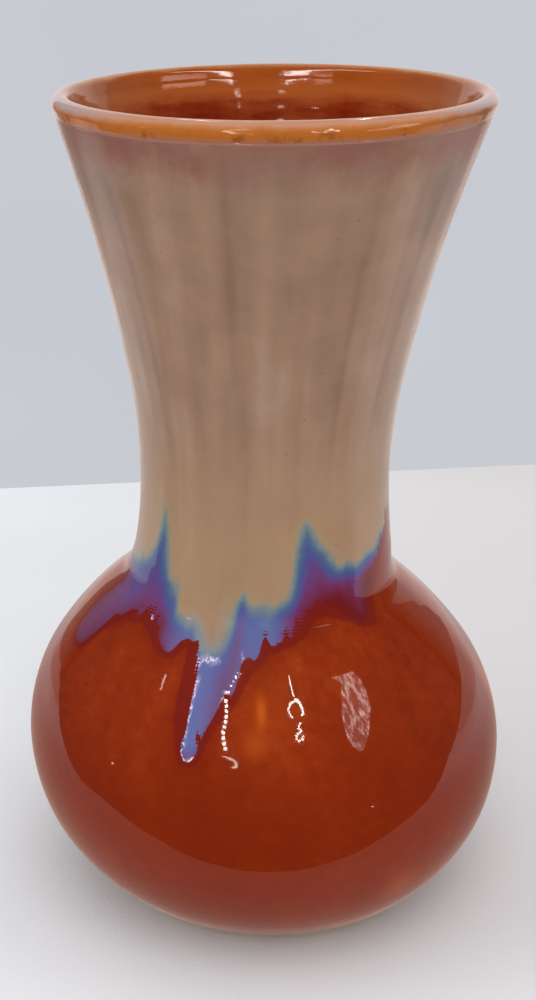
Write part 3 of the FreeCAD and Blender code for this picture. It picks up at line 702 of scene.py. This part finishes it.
class Nodes:
    """Short calls for building one material's node tree."""

    def __init__(self, name, kind="materials"):
        self.owner = getattr(bpy.data, kind).new(name)
        self.owner.use_nodes = True
        self.tree = self.owner.node_tree
        self.tree.nodes.clear()

    def put(self, socket, value):
        """Links an output to a socket, or sets the socket's own value."""
        if isinstance(value, bpy.types.NodeSocket):
            self.tree.links.new(value, socket)
        elif isinstance(value, tuple) and len(value) < len(socket.default_value):
            socket.default_value = (*value, 1.0)
        else:
            socket.default_value = value

    def add(self, kind, inputs, **settings):
        """A node with its settings, and with its inputs set by name or number."""
        node = self.tree.nodes.new(kind)
        for key, value in settings.items():
            setattr(node, key, value)
        for key, value in inputs.items():
            self.put(node.inputs[key], value)
        return node

    def math(self, operation, *values):
        return self.add("ShaderNodeMath", dict(enumerate(values)), operation=operation).outputs[0]

    def times(self, value, *factors):
        for factor in factors:
            value = self.math("MULTIPLY", value, factor)
        return value

    def total(self, *weighted):
        """The sum of values, each given with its weight."""
        result = 0.0
        for value, weight in weighted:
            result = self.math("MULTIPLY_ADD", value, weight, result)
        return result

    def attribute(self, name, output="Fac"):
        return self.add("ShaderNodeAttribute", {}, attribute_name=name).outputs[output]

    def place(self):
        return self.add("ShaderNodeTexCoord", {}).outputs["Object"]

    def parts(self, vector):
        return self.add("ShaderNodeSeparateXYZ", {0: vector}).outputs

    def sideways(self, vector):
        """How far a point is from the middle, to either side."""
        return self.math("ABSOLUTE", self.parts(vector)[0])

    def stretched(self, vector, stretch):
        if stretch == 1:
            return vector
        inputs = {0: vector, 1: (1, 1, stretch)}
        return self.add("ShaderNodeVectorMath", inputs, operation="MULTIPLY").outputs[0]

    def noise(self, vector, scale, detail=3.0, rough=0.55, stretch=1):
        """Cloudy noise from 0 to 1. Under 1, stretch draws it out upright."""
        inputs = {"Vector": self.stretched(vector, stretch), "Scale": scale}
        inputs.update({"Detail": detail, "Roughness": rough})
        return self.add("ShaderNodeTexNoise", inputs).outputs["Fac"]

    def swing(self, vector, scale, detail, rough, stretch=1):
        """The same noise, from -0.5 to 0.5."""
        return self.math("SUBTRACT", self.noise(vector, scale, detail, rough, stretch), 0.5)

    def cells(self, vector, scale, feature="F1", stretch=1):
        inputs = {"Vector": self.stretched(vector, stretch), "Scale": scale}
        return self.add("ShaderNodeTexVoronoi", inputs, feature=feature).outputs["Distance"]

    def between(self, value, low, high, start=0.0, end=1.0):
        """Value mapped smoothly from low..high to start..end."""
        inputs = {"Value": value, "From Min": low, "From Max": high, "To Min": start, "To Max": end}
        return self.add("ShaderNodeMapRange", inputs, interpolation_type="SMOOTHSTEP").outputs["Result"]

    def mix(self, share, first, second):
        return self.add("ShaderNodeMix", {0: share, 6: first, 7: second}, data_type="RGBA").outputs[2]

    def tint(self, colour, share, other):
        """The colour with a share of another, which is given as 0..255 screen values."""
        return self.mix(share, colour, screen(other))

    def ramp(self, value, *stops):
        """A colour ramp of (place, colour) stops, colours as 0..255 screen values."""
        node = self.add("ShaderNodeValToRGB", {0: value})
        elements = node.color_ramp.elements
        while len(elements) < len(stops):
            elements.new(0.5)
        for element, (place, colour) in zip(elements, stops):
            element.position = place
            element.color = (*screen(colour), 1.0)
        return node.outputs["Color"]

    def bump(self, height, strength, distance, under=None):
        """Fine relief of a depth in metres, over other relief if there is some."""
        inputs = {"Height": height, "Strength": strength, "Distance": distance}
        if under is not None:
            inputs["Normal"] = under
        return self.add("ShaderNodeBump", inputs).outputs["Normal"]

    def finish(self, shader, output="ShaderNodeOutputMaterial"):
        self.add(output, {"Surface": shader.outputs[0]})
        return self.owner

    def glaze(self, colour, roughness, normal, ior=1.52):
        inputs = {"Base Color": colour, "Roughness": roughness, "Normal": normal, "IOR": ior}
        return self.finish(self.add("ShaderNodeBsdfPrincipled", inputs))

    def glow(self, colour, strength):
        return self.finish(self.add("ShaderNodeEmission", {"Color": colour, "Strength": strength}))


def amber_colour(n, ring):
    """Amber glass over buff clay: deep where it pools, orange where it thins."""
    broad = n.noise(ring, 48, 4.0, 0.6, stretch=0.6)
    streak = n.noise(ring, 210, 3.0, 0.6, stretch=0.25)
    mottle = n.noise(ring, 520, 4.0, 0.65)
    return n.ramp(
        n.total((broad, 0.50), (streak, 0.22), (mottle, 0.28)),
        (0.32, (104, 27, 7)),
        (0.44, (127, 39, 12)),
        (0.52, (136, 43, 14)),
        (0.60, (147, 52, 17)),
        (0.70, (175, 78, 24)),
    )


def iron_specks(n, place, colour, speck_colour):
    """Small dark specks, in groups."""
    specks = n.between(n.cells(place, 330), 0.10, 0.045)
    chosen = n.between(n.noise(place, 60, 1.0), 0.58, 0.66)
    return n.tint(colour, n.times(specks, chosen, 0.5), speck_colour)


def amber_material():
    n = Nodes("amber_glass")
    ring = n.attribute("ring", "Vector")
    height = n.parts(ring)[2]
    near = n.total((n.attribute("inside"), 1.0), (n.swing(ring, 420, 3.0, 0.6), 1.6))
    colour = amber_colour(n, ring)
    colour = n.tint(colour, n.between(near, -3.6, -0.6, 0.0, 0.30), (118, 26, 10))
    colour = n.tint(colour, n.between(near, -0.9, 0.1, 0.0, 0.8), (112, 26, 22))
    colour = n.tint(colour, n.between(height, 0.062, 0.040, 0.0, 0.6), (114, 30, 8))
    colour = n.tint(colour, n.attribute("glow"), (214, 102, 30))
    colour = n.tint(colour, n.between(height, 0.1700, 0.1720), (150, 104, 88))
    colour = iron_specks(n, ring, colour, (70, 24, 10))
    fine = n.bump(n.noise(ring, 900, 2.0, 0.5), 0.02, 0.0002)
    normal = n.bump(n.noise(ring, 150, 2.0, 0.5, stretch=0.5), 0.03, 0.0008, fine)
    return n.glaze(colour, n.between(n.noise(ring, 120), 0.3, 0.7, 0.02, 0.05), normal)


def full_cream_colour(n, ring, height, drift):
    """The full coat: tan with soft upright drips, warmer low down and mauve under the lip, with painted
    shade greying its left and right edges near the top.
    """
    broad = n.noise(ring, 62, stretch=0.22)
    cloud = n.noise(ring, 110, 4.0, 0.6)
    trails = n.noise(ring, 230, stretch=0.05)
    # The drip attribute also carries a painted reflection streak.
    colour = n.ramp(
        n.total((broad, 0.45), (cloud, 0.28), (trails, 0.27), (n.attribute("drip"), 0.62)),
        (0.26, (121, 94, 75)),
        (0.42, (141, 110, 91)),
        (0.52, (150, 118, 97)),
        (0.64, (160, 131, 112)),
        (0.84, (184, 166, 153)),
    )
    colour = n.tint(colour, n.between(height, 0.125, 0.088, 0.0, 0.65), (166, 132, 99))
    rise = n.total((height, 1.0), (drift, 0.014))
    # Painted shade: the neck's left and right edges greyer and darker near the top.
    sides = n.between(n.sideways(ring), 0.018, 0.032)
    colour = n.tint(colour, n.times(sides, n.between(rise, 0.150, 0.168), 0.8), (120, 90, 84))
    mauve = n.times(n.between(rise, 0.1660, 0.1745), n.between(cloud, 0.30, 0.60, 0.45, 1.0))
    return n.tint(colour, mauve, (132, 86, 74))


def melt_colour(n, melted):
    """From the coat's lower edge to the full coat: wine red, violet, blue, green and then tan."""
    colour = n.ramp(
        melted,
        (0.00, (106, 26, 24)),
        (0.11, (108, 28, 34)),
        (0.25, (110, 40, 70)),
        (0.38, (106, 55, 102)),
        (0.52, (87, 71, 128)),
        (0.65, (71, 83, 132)),
        (0.78, (79, 98, 130)),
        (0.90, (114, 126, 124)),
        (1.00, (157, 134, 102)),
    )
    blue = n.attribute("blue")
    colour = n.tint(colour, n.times(blue, n.between(melted, 0.92, 0.62, 0.0, 0.75)), (104, 116, 166))
    return n.tint(colour, n.times(blue, n.between(melted, 0.62, 0.84, 0.0, 0.75)), (139, 139, 141))


def with_painted_glints(n, ring, colour):
    """Painted highlights: a lavender cloud with white veins in it, standing in for a window's reflection."""
    frost = n.attribute("frost")
    glint_cloud = n.times(frost, n.between(n.noise(ring, 900, 3.0, 0.7, stretch=0.4), 0.30, 0.62))
    colour = n.tint(colour, n.between(glint_cloud, 0.05, 0.75, 0.0, 0.70), (164, 154, 191))
    glint_cracks = n.cells(ring, 1100, "DISTANCE_TO_EDGE", stretch=0.55)
    bent = n.total((glint_cracks, 1.0), (n.swing(ring, 1300, 2.0, 0.6), 0.5))
    glint_veins = n.times(n.between(bent, 0.09, 0.01), n.between(frost, 0.30, 0.75), 0.85)
    return n.tint(colour, glint_veins, (220, 214, 228))


def cream_material():
    n = Nodes("cream_over_amber")
    ring = n.attribute("ring", "Vector")
    melt = n.attribute("melt")
    streak = n.swing(ring, 200, 3.0, 0.6, stretch=0.10)
    drift = n.total((streak, 0.6), (n.swing(ring, 620, 4.0, 0.65), 0.4))
    melted = n.math("MULTIPLY_ADD", drift, n.between(melt, 0.0, 0.25, 0.05, 0.34), melt)
    full = full_cream_colour(n, ring, n.parts(ring)[2], drift)
    colour = n.mix(n.between(melted, 0.93, 1.06), melt_colour(n, melted), full)
    # Painted highlights go over the glaze colour, then the iron specks.
    colour = iron_specks(n, ring, with_painted_glints(n, ring, colour), (110, 80, 60))
    fine = n.bump(n.noise(ring, 1000, 2.0, 0.5), 0.03, 0.0002)
    normal = n.bump(n.noise(ring, 180, 2.0, 0.5, stretch=0.3), 0.05, 0.0006, fine)
    patches = n.noise(ring, 150)
    settled = n.between(melt, 0.7, 1.2)
    satin = n.times(n.between(patches, 0.3, 0.7, 0.16, 0.26), settled)
    glassy = n.times(n.between(patches, 0.3, 0.7, 0.03, 0.06), n.math("SUBTRACT", 1.0, settled))
    return n.glaze(colour, n.math("ADD", satin, glassy), normal)


def inner_amber(n, ring):
    """The liner's colour: amber brown under the lip, an orange band, then deep red-brown, with a painted
    reflection paler high up at the left and right.
    """
    height = n.parts(ring)[2]
    bands = n.noise(ring, 105, 3.0, 0.6, stretch=4)
    runs = n.noise(ring, 140, 3.0, 0.6, stretch=0.15)
    band_low, band_tall = 0.168, 0.012
    start = -band_low - 0.0013 - 0.0012
    level = n.total((height, 1 / band_tall), (bands, 0.0026 / band_tall), (runs, 0.0024 / band_tall))
    colour = n.ramp(
        n.math("ADD", level, start / band_tall),
        (0.05, (125, 30, 8)),
        (0.32, (134, 40, 12)),
        (0.45, (166, 76, 32)),
        (0.58, (176, 89, 36)),
        (0.70, (164, 76, 23)),
        (0.85, (159, 70, 16)),
    )
    shade = n.between(n.total((bands, 1.0), (runs, 0.6)), 0.6, 1.0, 0.0, 0.35)
    colour = n.tint(colour, shade, (183, 98, 43))
    # Painted reflection: a paler greyish tan veil high on the inner wall at its left and right sides.
    sides = n.between(n.sideways(ring), 0.016, 0.036)
    return n.tint(colour, n.times(sides, n.between(height, 0.169, 0.176), 0.5), (163, 117, 94))


def rim_material():
    """The coats drained thin over the lip: mauve outside, an amber line, pink on top, amber inside. A
    painted reflection pales the top at the left and right, and painted shade darkens the amber line on the
    right.
    """
    n = Nodes("rim_break")
    ring = n.attribute("ring", "Vector")
    wander = n.swing(ring, 170, 4.0, 0.6, stretch=0.2)
    place = n.total((n.attribute("across"), 1.0), (wander, 0.10), (n.swing(ring, 900, 2.0, 0.6), 0.04))
    colour = n.ramp(
        place,
        (0.08, (143, 99, 86)),
        (0.12, (162, 99, 61)),
        (0.16, (170, 94, 36)),
        (0.28, (172, 97, 40)),
        (0.33, (180, 113, 65)),
        (0.38, (187, 134, 107)),
        (0.46, (183, 132, 107)),
        (0.53, (174, 117, 78)),
    )
    colour = n.mix(n.between(place, 0.56, 0.64), colour, inner_amber(n, ring))
    # Painted reflection: the lip's top paler and greyer at its left and right sides.
    sides = n.between(n.sideways(ring), 0.016, 0.029, 0.0, 0.75)
    top = n.times(n.between(place, 0.26, 0.36), n.between(place, 0.60, 0.50))
    colour = n.tint(colour, n.times(sides, top), (162, 153, 159))
    # Painted shade: the amber line darker on the right side.
    right = n.between(n.parts(ring)[0], 0.014, 0.032)
    colour = n.tint(colour, n.times(right, n.between(place, 0.34, 0.28, 0.0, 0.7)), (128, 73, 32))
    spots = n.between(n.noise(ring, 340, 4.0, 0.6, stretch=0.6), 0.50, 0.64)
    line = n.times(n.between(place, 0.08, 0.13), n.between(place, 0.30, 0.22))
    colour = n.tint(colour, n.times(spots, line, 0.7), (120, 63, 25))
    return n.glaze(colour, 0.08, n.bump(n.noise(ring, 800, 2.0, 0.5), 0.06, 0.0002))


def liner_material():
    n = Nodes("liner_glass")
    ring = n.attribute("ring", "Vector")
    return n.glaze(inner_amber(n, ring), 0.07, n.bump(n.noise(ring, 700, 2.0, 0.5), 0.06, 0.0003))


def foot_glass_material():
    n = Nodes("foot_glass")
    place = n.place()
    return n.glaze(amber_colour(n, place), 0.12, n.bump(n.noise(place, 500, 2.0, 0.5), 0.12, 0.0003))


def clay_material():
    """Bare stoneware: buff, sandy and matte, with dark iron specks."""
    n = Nodes("fired_clay")
    place = n.place()
    tone = n.noise(place, 160, 5.0, 0.65)
    colour = n.ramp(tone, (0.3, (156, 118, 88)), (0.5, (182, 146, 112)), (0.7, (200, 168, 134)))
    iron = n.between(n.cells(place, 700), 0.16, 0.07)
    colour = n.tint(colour, n.times(iron, n.between(n.noise(place, 300, 1.0), 0.52, 0.60)), (84, 52, 34))
    sand = n.bump(n.noise(place, 2600, 3.0, 0.7), 0.5, 0.0003)
    return n.glaze(colour, n.between(tone, 0.3, 0.7, 0.85, 0.95), sand, 1.45)


def sheet_material():
    """The pale sheet under the vase, greyer and warmer towards the right, with painted light making it
    lightest in front. Only a camera sees it greyer further out.
    """
    n = Nodes("pale_sheet")
    place = n.place()
    side, deep, _ = n.parts(place)
    seen = n.add("ShaderNodeLightPath", {}).outputs["Is Camera Ray"]
    colour = n.ramp(n.noise(place, 9, 3.0, 0.5), (0.3, (225, 226, 228)), (0.7, (233, 234, 237)))
    colour = n.tint(colour, n.between(side, -0.10, 0.12), (217, 212, 212))
    # Painted light: the sheet whiter in front of the vase, in full for light that bounces onto the vase and
    # about half as much where a camera sees it.
    most = n.math("MULTIPLY_ADD", seen, -0.52, 1.0)
    front = n.math("MINIMUM", n.between(deep, -0.02, -0.12), most)
    colour = n.tint(colour, n.times(front, 0.95), (255, 254, 254))
    colour = n.tint(colour, n.times(n.between(deep, -0.075, -0.25), seen), (214, 215, 217))
    return n.glaze(colour, 0.8, n.bump(n.noise(place, 1400, 2.0, 0.6), 0.2, 0.0004), 1.3)


# ---------------------------------------------------------------- studio: sheet, wall, lamps, camera

SHEET_FRONT, SHEET_SIDE, SHEET_BACK, SHEET_SLANT = 1.4, 1.4, 0.253, 0.166
WALL_BACK = 0.25

# Outlines of what the glaze reflects, in metres: the sheet's edge in front and at the sides as (x, y),
# and the far things' skyline behind as (x, z).
REFLECTED_EDGE = (
    (-0.62, 0.235), (-0.36, 0.092), (-0.23, 0.018), (-0.176, -0.016), (-0.147, -0.038), (-0.129, -0.06),
    (-0.106, -0.074), (-0.064, -0.083), (0.074, -0.084), (0.111, -0.077), (0.153, -0.065),
    (0.228, -0.047), (0.49, 0.01), (1.1, 0.2), (1.2, 0.25), (-0.64, 0.25),
)
REFLECTED_SKYLINE = (
    (-0.64, 0), (-0.64, 0.006), (-0.49, 0.049), (-0.36, 0.047), (-0.25, 0.022), (-0.2, 0.016),
    (-0.17, 0.08), (-0.16, 0.5), (0.5, 0.5), (0.31, 0.208), (0.237, 0.123), (0.209, 0.088),
    (0.203, 0.056), (0.3, 0.066), (0.36, 0.075), (0.46, 0.082), (0.67, 0.07), (1.1, 0.019), (1.2, 0),
)

BULB_CENTRE = Vector((0, 0, 0.06))
LAMP_REACH, MOUTH_REACH = 0.18, 0.075
MOUTH_RADIUS, MOUTH_UP = 0.0415, 0.178

# The lamps' colour on a screen and their strength.
LAMPS = {
    "bright": ((255, 244, 232), 48.0),
    "dim": ((255, 232, 220), 14.0),
    "faint": ((255, 226, 205), 4.0),
    "mouth": ((255, 244, 236), 22.0),
}

# Strings of small lamps seen in the glaze, all in degrees: gap, height and half width of the lamps,
# their brightness, and the path as (bearing from the front, elevation) seen from the bulb's middle.
STRINGS = {
    "string_top": (
        2.5, 0.75, 0.5, "bright",
        ((-11.6, 56.2), (-14.1, 53.7), (-17.7, 49.3), (-20, 46.2), (-20.3, 42.6)),
    ),
    "string": (
        1.9, 1.05, 0.7, "bright",
        ((-20, 41.2), (-19.4, 40), (-18.2, 36), (-18.2, 30), (-17.4, 27.2), (-15.8, 24.4)),
    ),
    "cord": (0.7, 0.7, 0.26, "bright", ((21.3, 51.2), (21.2, 48.5), (21, 45), (21.9, 44))),
    "loop": (0.9, 0.6, 0.32, "bright", ((21, 42.3), (17.2, 41.7), (15.4, 40), (16.2, 37.7), (17.4, 37))),
    "loop_right": (
        1.1, 0.8, 0.55, "bright",
        ((22.2, 42.8), (23.8, 42.1), (24.8, 39.8), (24.9, 37.6), (23, 36.6)),
    ),
    "knot": (
        1.3, 0.55, 0.42, "bright",
        ((21.3, 34.4), (19.4, 33), (21.5, 31.8), (18.6, 31), (16.9, 29.8), (18.4, 28.4), (20.7, 28.9),
         (22.4, 30.6)),
    ),
    "curl": (
        0.5, 0.5, 0.35, "dim",
        ((-17, 21.6), (-14.6, 21.6), (-12.6, 20.6), (-10.8, 19.2), (-9.8, 17.4), (-9.9, 15.2), (-11, 13.8)),
    ),
    "left_line": (0.4, 0.5, 0.26, "dim", ((-59, 38.4), (-57.6, 35.8), (-56.5, 33.7))),
    "left_dot": (1.0, 0.6, 0.5, "dim", ((-62.7, -4.4),)),
    "right_dot": (1.0, 0.6, 0.5, "dim", ((42.3, -11.4),)),
}

# A window among leaves: (elevation, left bearing, right bearing).
WINDOW = (
    (17, 43.5, 45), (21, 41.5, 49), (25, 40.5, 54), (29.4, 41.5, 59.5), (34, 43.5, 62.5), (38, 47, 64),
    (42, 51, 63.5), (45.5, 48, 60), (48.6, 47, 54),
)

# Long lamps seen inside the mouth: brightness, then (bearing, lower and upper elevation) along each.
MOUTH_RIBBONS = {
    "left_arc": (
        "mouth",
        ((75, 44.5, 46.3), (60, 45, 47.2), (48, 40.5, 43.8), (36, 31.8, 35.8), (30, 30.2, 33.2),
         (27, 29.2, 32.4), (24.3, 28.2, 31.4)),
    ),
    "right_arc": (
        "mouth",
        ((-75, 42.5, 44), (-49, 44.5, 46.4), (-34, 37.2, 40.6), (-21.6, 32, 35), (-15, 31.4, 34.4),
         (-11, 30.4, 33.6), (-7.8, 29.2, 32.6)),
    ),
    "left_veil": ("faint", ((70, 22.6, 26.8), (56, 24.6, 28.6), (41, 27, 30.2))),
    "right_veil": ("faint", ((-36, 29.8, 31.8), (-30, 28.8, 31.4), (-26, 30, 32.2))),
    "left_speck": ("dim", ((-6.3, 20.5, 24.0), (-4.5, 20.5, 24.0))),
    "right_speck": ("dim", ((-28.5, 20.8, 22.4), (-26.7, 20.8, 22.4))),
    "far_speck": ("dim", ((20.9, 21.4, 23.2), (22.7, 21.4, 23.2))),
}

# The camera, with distances in vase heights and angles in degrees.
CAMERA_SIDE, CAMERA_BACK, CAMERA_UP = -0.0039, 1.7148, 1.1922
CAMERA_PITCH, CAMERA_ROLL = 21.815, 0.8
CAMERA_LENS, CAMERA_SENSOR = 54.0, 36.0


def studio_piece(name, points, faces, material):
    mesh = bpy.data.meshes.new(name)
    mesh.from_pydata(points, [], faces)
    mesh.materials.append(material)
    obj = bpy.data.objects.new(name, mesh)
    bpy.context.scene.collection.objects.link(obj)
    return obj


def reflected(name, points, faces, material):
    """A thing of the room that only the glaze's reflections see."""
    obj = studio_piece(name, points, faces, material)
    for kind in ("camera", "diffuse", "shadow", "transmission"):
        setattr(obj, "visible_" + kind, False)


def reflected_card(name, corners, material):
    reflected("reflected_" + name, corners, [list(range(len(corners)))], material)


def sheet_glow():
    """The pale sheet as the glaze reflects it: shaded and warm close to the vase."""
    n = Nodes("sheet_glow")
    away = n.add("ShaderNodeVectorMath", {0: n.place()}, operation="LENGTH").outputs["Value"]
    return n.glow(n.mix(n.between(away, 0.30, 0.08), screen((220, 214, 214)), screen((184, 158, 146))), 1.0)


def card_glow(name, colour, outer, inner, outer_strength, inner_strength):
    """A pale thing behind, whose brightness changes with the distance to either side."""
    n = Nodes(name)
    strength = n.between(n.sideways(n.place()), outer, inner, outer_strength, inner_strength)
    return n.glow(screen(colour), strength)


def make_stage():
    """A pale sheet under the vase. Its reflection in the glaze stops short in front, as a table's does."""
    corners = [(x, -SHEET_FRONT, 0) for x in (-SHEET_SIDE, SHEET_SIDE)]
    corners += [(x, SHEET_BACK + SHEET_SLANT * x, 0) for x in (SHEET_SIDE, -SHEET_SIDE)]
    sheet = studio_piece("floor", corners, [(0, 1, 2, 3)], sheet_material())
    sheet.visible_glossy = False
    reflected_card("sheet", [(x, y, 0) for x, y in REFLECTED_EDGE], sheet_glow())
    backdrop = card_glow("backdrop_glow", (216, 202, 196), 0.30, 0.15, 0.75, 1.35)
    reflected_card("backdrop", [(x, WALL_BACK, z) for x, z in REFLECTED_SKYLINE], backdrop)
    corners = [(x, WALL_BACK + 0.01, z) for x, z in ((-0.48, 0), (0.48, 0), (0.48, 0.5), (-0.48, 0.5))]
    reflected_card("wall", corners, card_glow("wall_glow", (216, 190, 176), 0.48, 0.20, 0.0, 0.50))


def make_world():
    """Pale studio grey to look at, soft light on the vase, and a dim room in its reflections."""
    n = Nodes("studio", "worlds")
    path = n.add("ShaderNodeLightPath", {}).outputs
    way = n.add("ShaderNodeTexCoord", {}).outputs["Generated"]

    def background(colour, strength):
        return n.add("ShaderNodeBackground", {"Color": colour, "Strength": strength}).outputs[0]

    def choose(share, first, second):
        return n.add("ShaderNodeMixShader", {0: share, 1: first, 2: second})

    wall = n.mix(n.noise(way, 6, 2.0, 0.5), screen((195, 198, 204)), screen((204, 207, 215)))
    light = background((0.96, 0.98, 1.0), 0.94)
    room = background((0.075, 0.058, 0.046), n.between(n.parts(way)[1], -1.0, 0.4, 0.25, 1.0))
    unseen = choose(path["Is Glossy Ray"], light, room).outputs[0]
    bpy.context.scene.world = n.finish(
        choose(path["Is Camera Ray"], unseen, background(wall, 1.0)), "ShaderNodeOutputWorld"
    )


def area_light(name, place, target, size, power):
    data = bpy.data.lights.new(name, "AREA")
    data.shape = "DISK"
    data.size = size
    data.energy = power
    obj = bpy.data.objects.new(name, data)
    bpy.context.scene.collection.objects.link(obj)
    obj.location = place
    obj.rotation_euler = (Vector(target) - Vector(place)).to_track_quat("-Z", "Y").to_euler()
    obj.visible_glossy = False


def toward(turn, rise, reach=LAMP_REACH, start=BULB_CENTRE):
    """A point at a bearing from the front and an elevation, both in degrees, seen from start."""
    bearing, lift = math.radians(turn), math.radians(rise)
    flat = reach * math.cos(lift)
    return start + Vector((flat * math.sin(bearing), -flat * math.cos(bearing), reach * math.sin(lift)))


def mouth_back(turn):
    """Where on the back of the mouth a lamp at this bearing is reflected to the front."""
    place = math.radians(0.43 * turn)
    return Vector((-MOUTH_RADIUS * math.sin(place), MOUTH_RADIUS * math.cos(place), MOUTH_UP))


def lamp_ribbon(name, edges, material):
    """A bright band of the room: pairs of points across its length."""
    points = [tuple(p) for pair in edges for p in pair]
    faces = [(2 * i, 2 * i + 1, 2 * i + 3, 2 * i + 2) for i in range(len(edges) - 1)]
    reflected(name, points, faces, material)


def lamp_string(name, gap, tall, wide, material, path):
    """Small lamps at equal gaps along a path."""
    path = np.array(path, float)
    lengths = np.concatenate([[0], np.cumsum(np.hypot(*np.diff(path, axis=0).T))])
    for i, place in enumerate(np.arange(0, lengths[-1] + 0.01, gap)):
        turn, rise = (float(np.interp(place, lengths, path[:, k])) for k in (0, 1))
        ends = (rise - tall / 2, rise + tall / 2)
        edges = [[toward(turn + side, up) for side in (-wide, wide)] for up in ends]
        lamp_ribbon(f"{name}_{i:02d}", edges, material)


def mouth_ribbon(name, material, marks):
    edges = []
    for turn, low, high in marks:
        edges.append([toward(turn, rise, MOUTH_REACH, mouth_back(turn)) for rise in (low, high)])
    lamp_ribbon(name, edges, material)


def make_visor():
    """A dim ring over the hollow at the neck's root, where the lamps would show a second time."""
    bearings = np.radians(np.linspace(-24, 52, 39))
    outer = 0.0438 + 0.0022 * np.clip((np.degrees(bearings) - 12) / 12, 0, 1)
    radii = [np.full(len(bearings), 0.033), outer]
    points = [(r * math.sin(t), -r * math.cos(t), 0.0785) for ring in radii for r, t in zip(ring, bearings)]
    count = len(bearings)
    faces = [(i, i + 1, i + 1 + count, i + count) for i in range(count - 1)]
    reflected("visor", points, faces, Nodes("dim_room").glow(screen((52, 45, 40)), 1.0))


def window_glow():
    """A window seen through leaves: bright slivers with gaps."""
    n = Nodes("lamp_window")
    leaves = n.between(n.noise(n.place(), 150, 4.0, 0.65, stretch=0.28), 0.44, 0.66, 0.85, 8.5)
    return n.glow(screen((255, 240, 232)), leaves)


def make_lights():
    area_light("soft_top", (0.1, -0.65, 0.95), (0, -0.16, 0.0), 0.9, 3.2)
    area_light("soft_left", (-0.9, -0.3, 0.6), (0, 0, 0.08), 0.7, 0.8)
    make_visor()
    edges = [[toward(turn, rise) for turn in sides] for rise, *sides in WINDOW]
    lamp_ribbon("window", edges, window_glow())
    glows = {key: Nodes("lamp_" + key).glow(screen(colour), power) for key, (colour, power) in LAMPS.items()}
    for name, (gap, tall, wide, lamp, path) in STRINGS.items():
        lamp_string(name, gap, tall, wide, glows[lamp], path)
    for name, (lamp, marks) in MOUTH_RIBBONS.items():
        mouth_ribbon(name, glows[lamp], marks)


def make_camera():
    """The photograph's viewing angle."""
    data = bpy.data.cameras.new("camera")
    data.sensor_width = CAMERA_SENSOR
    data.lens = CAMERA_LENS
    data.dof.use_dof = False
    camera = bpy.data.objects.new("camera", data)
    bpy.context.scene.collection.objects.link(camera)
    camera.location = (CAMERA_SIDE * HEIGHT, -CAMERA_BACK * HEIGHT, CAMERA_UP * HEIGHT)
    tilt = Euler((math.radians(90 - CAMERA_PITCH), 0, 0)).to_matrix()
    roll = Euler((0, 0, math.radians(CAMERA_ROLL))).to_matrix()
    camera.rotation_euler = (tilt @ roll).to_euler()
    bpy.context.scene.camera = camera


bpy.context.scene.view_settings.view_transform = "Standard"
make_camera()
make_world()
make_stage()
make_lights()
melts = Melt()
make_clay_body(clay_material())
make_amber_glaze(amber_material(), melts)
make_cream_glaze(cream_material(), melts)
make_rim_glaze(rim_material())
make_liner_glaze(liner_material())
make_foot_glaze(foot_glass_material())
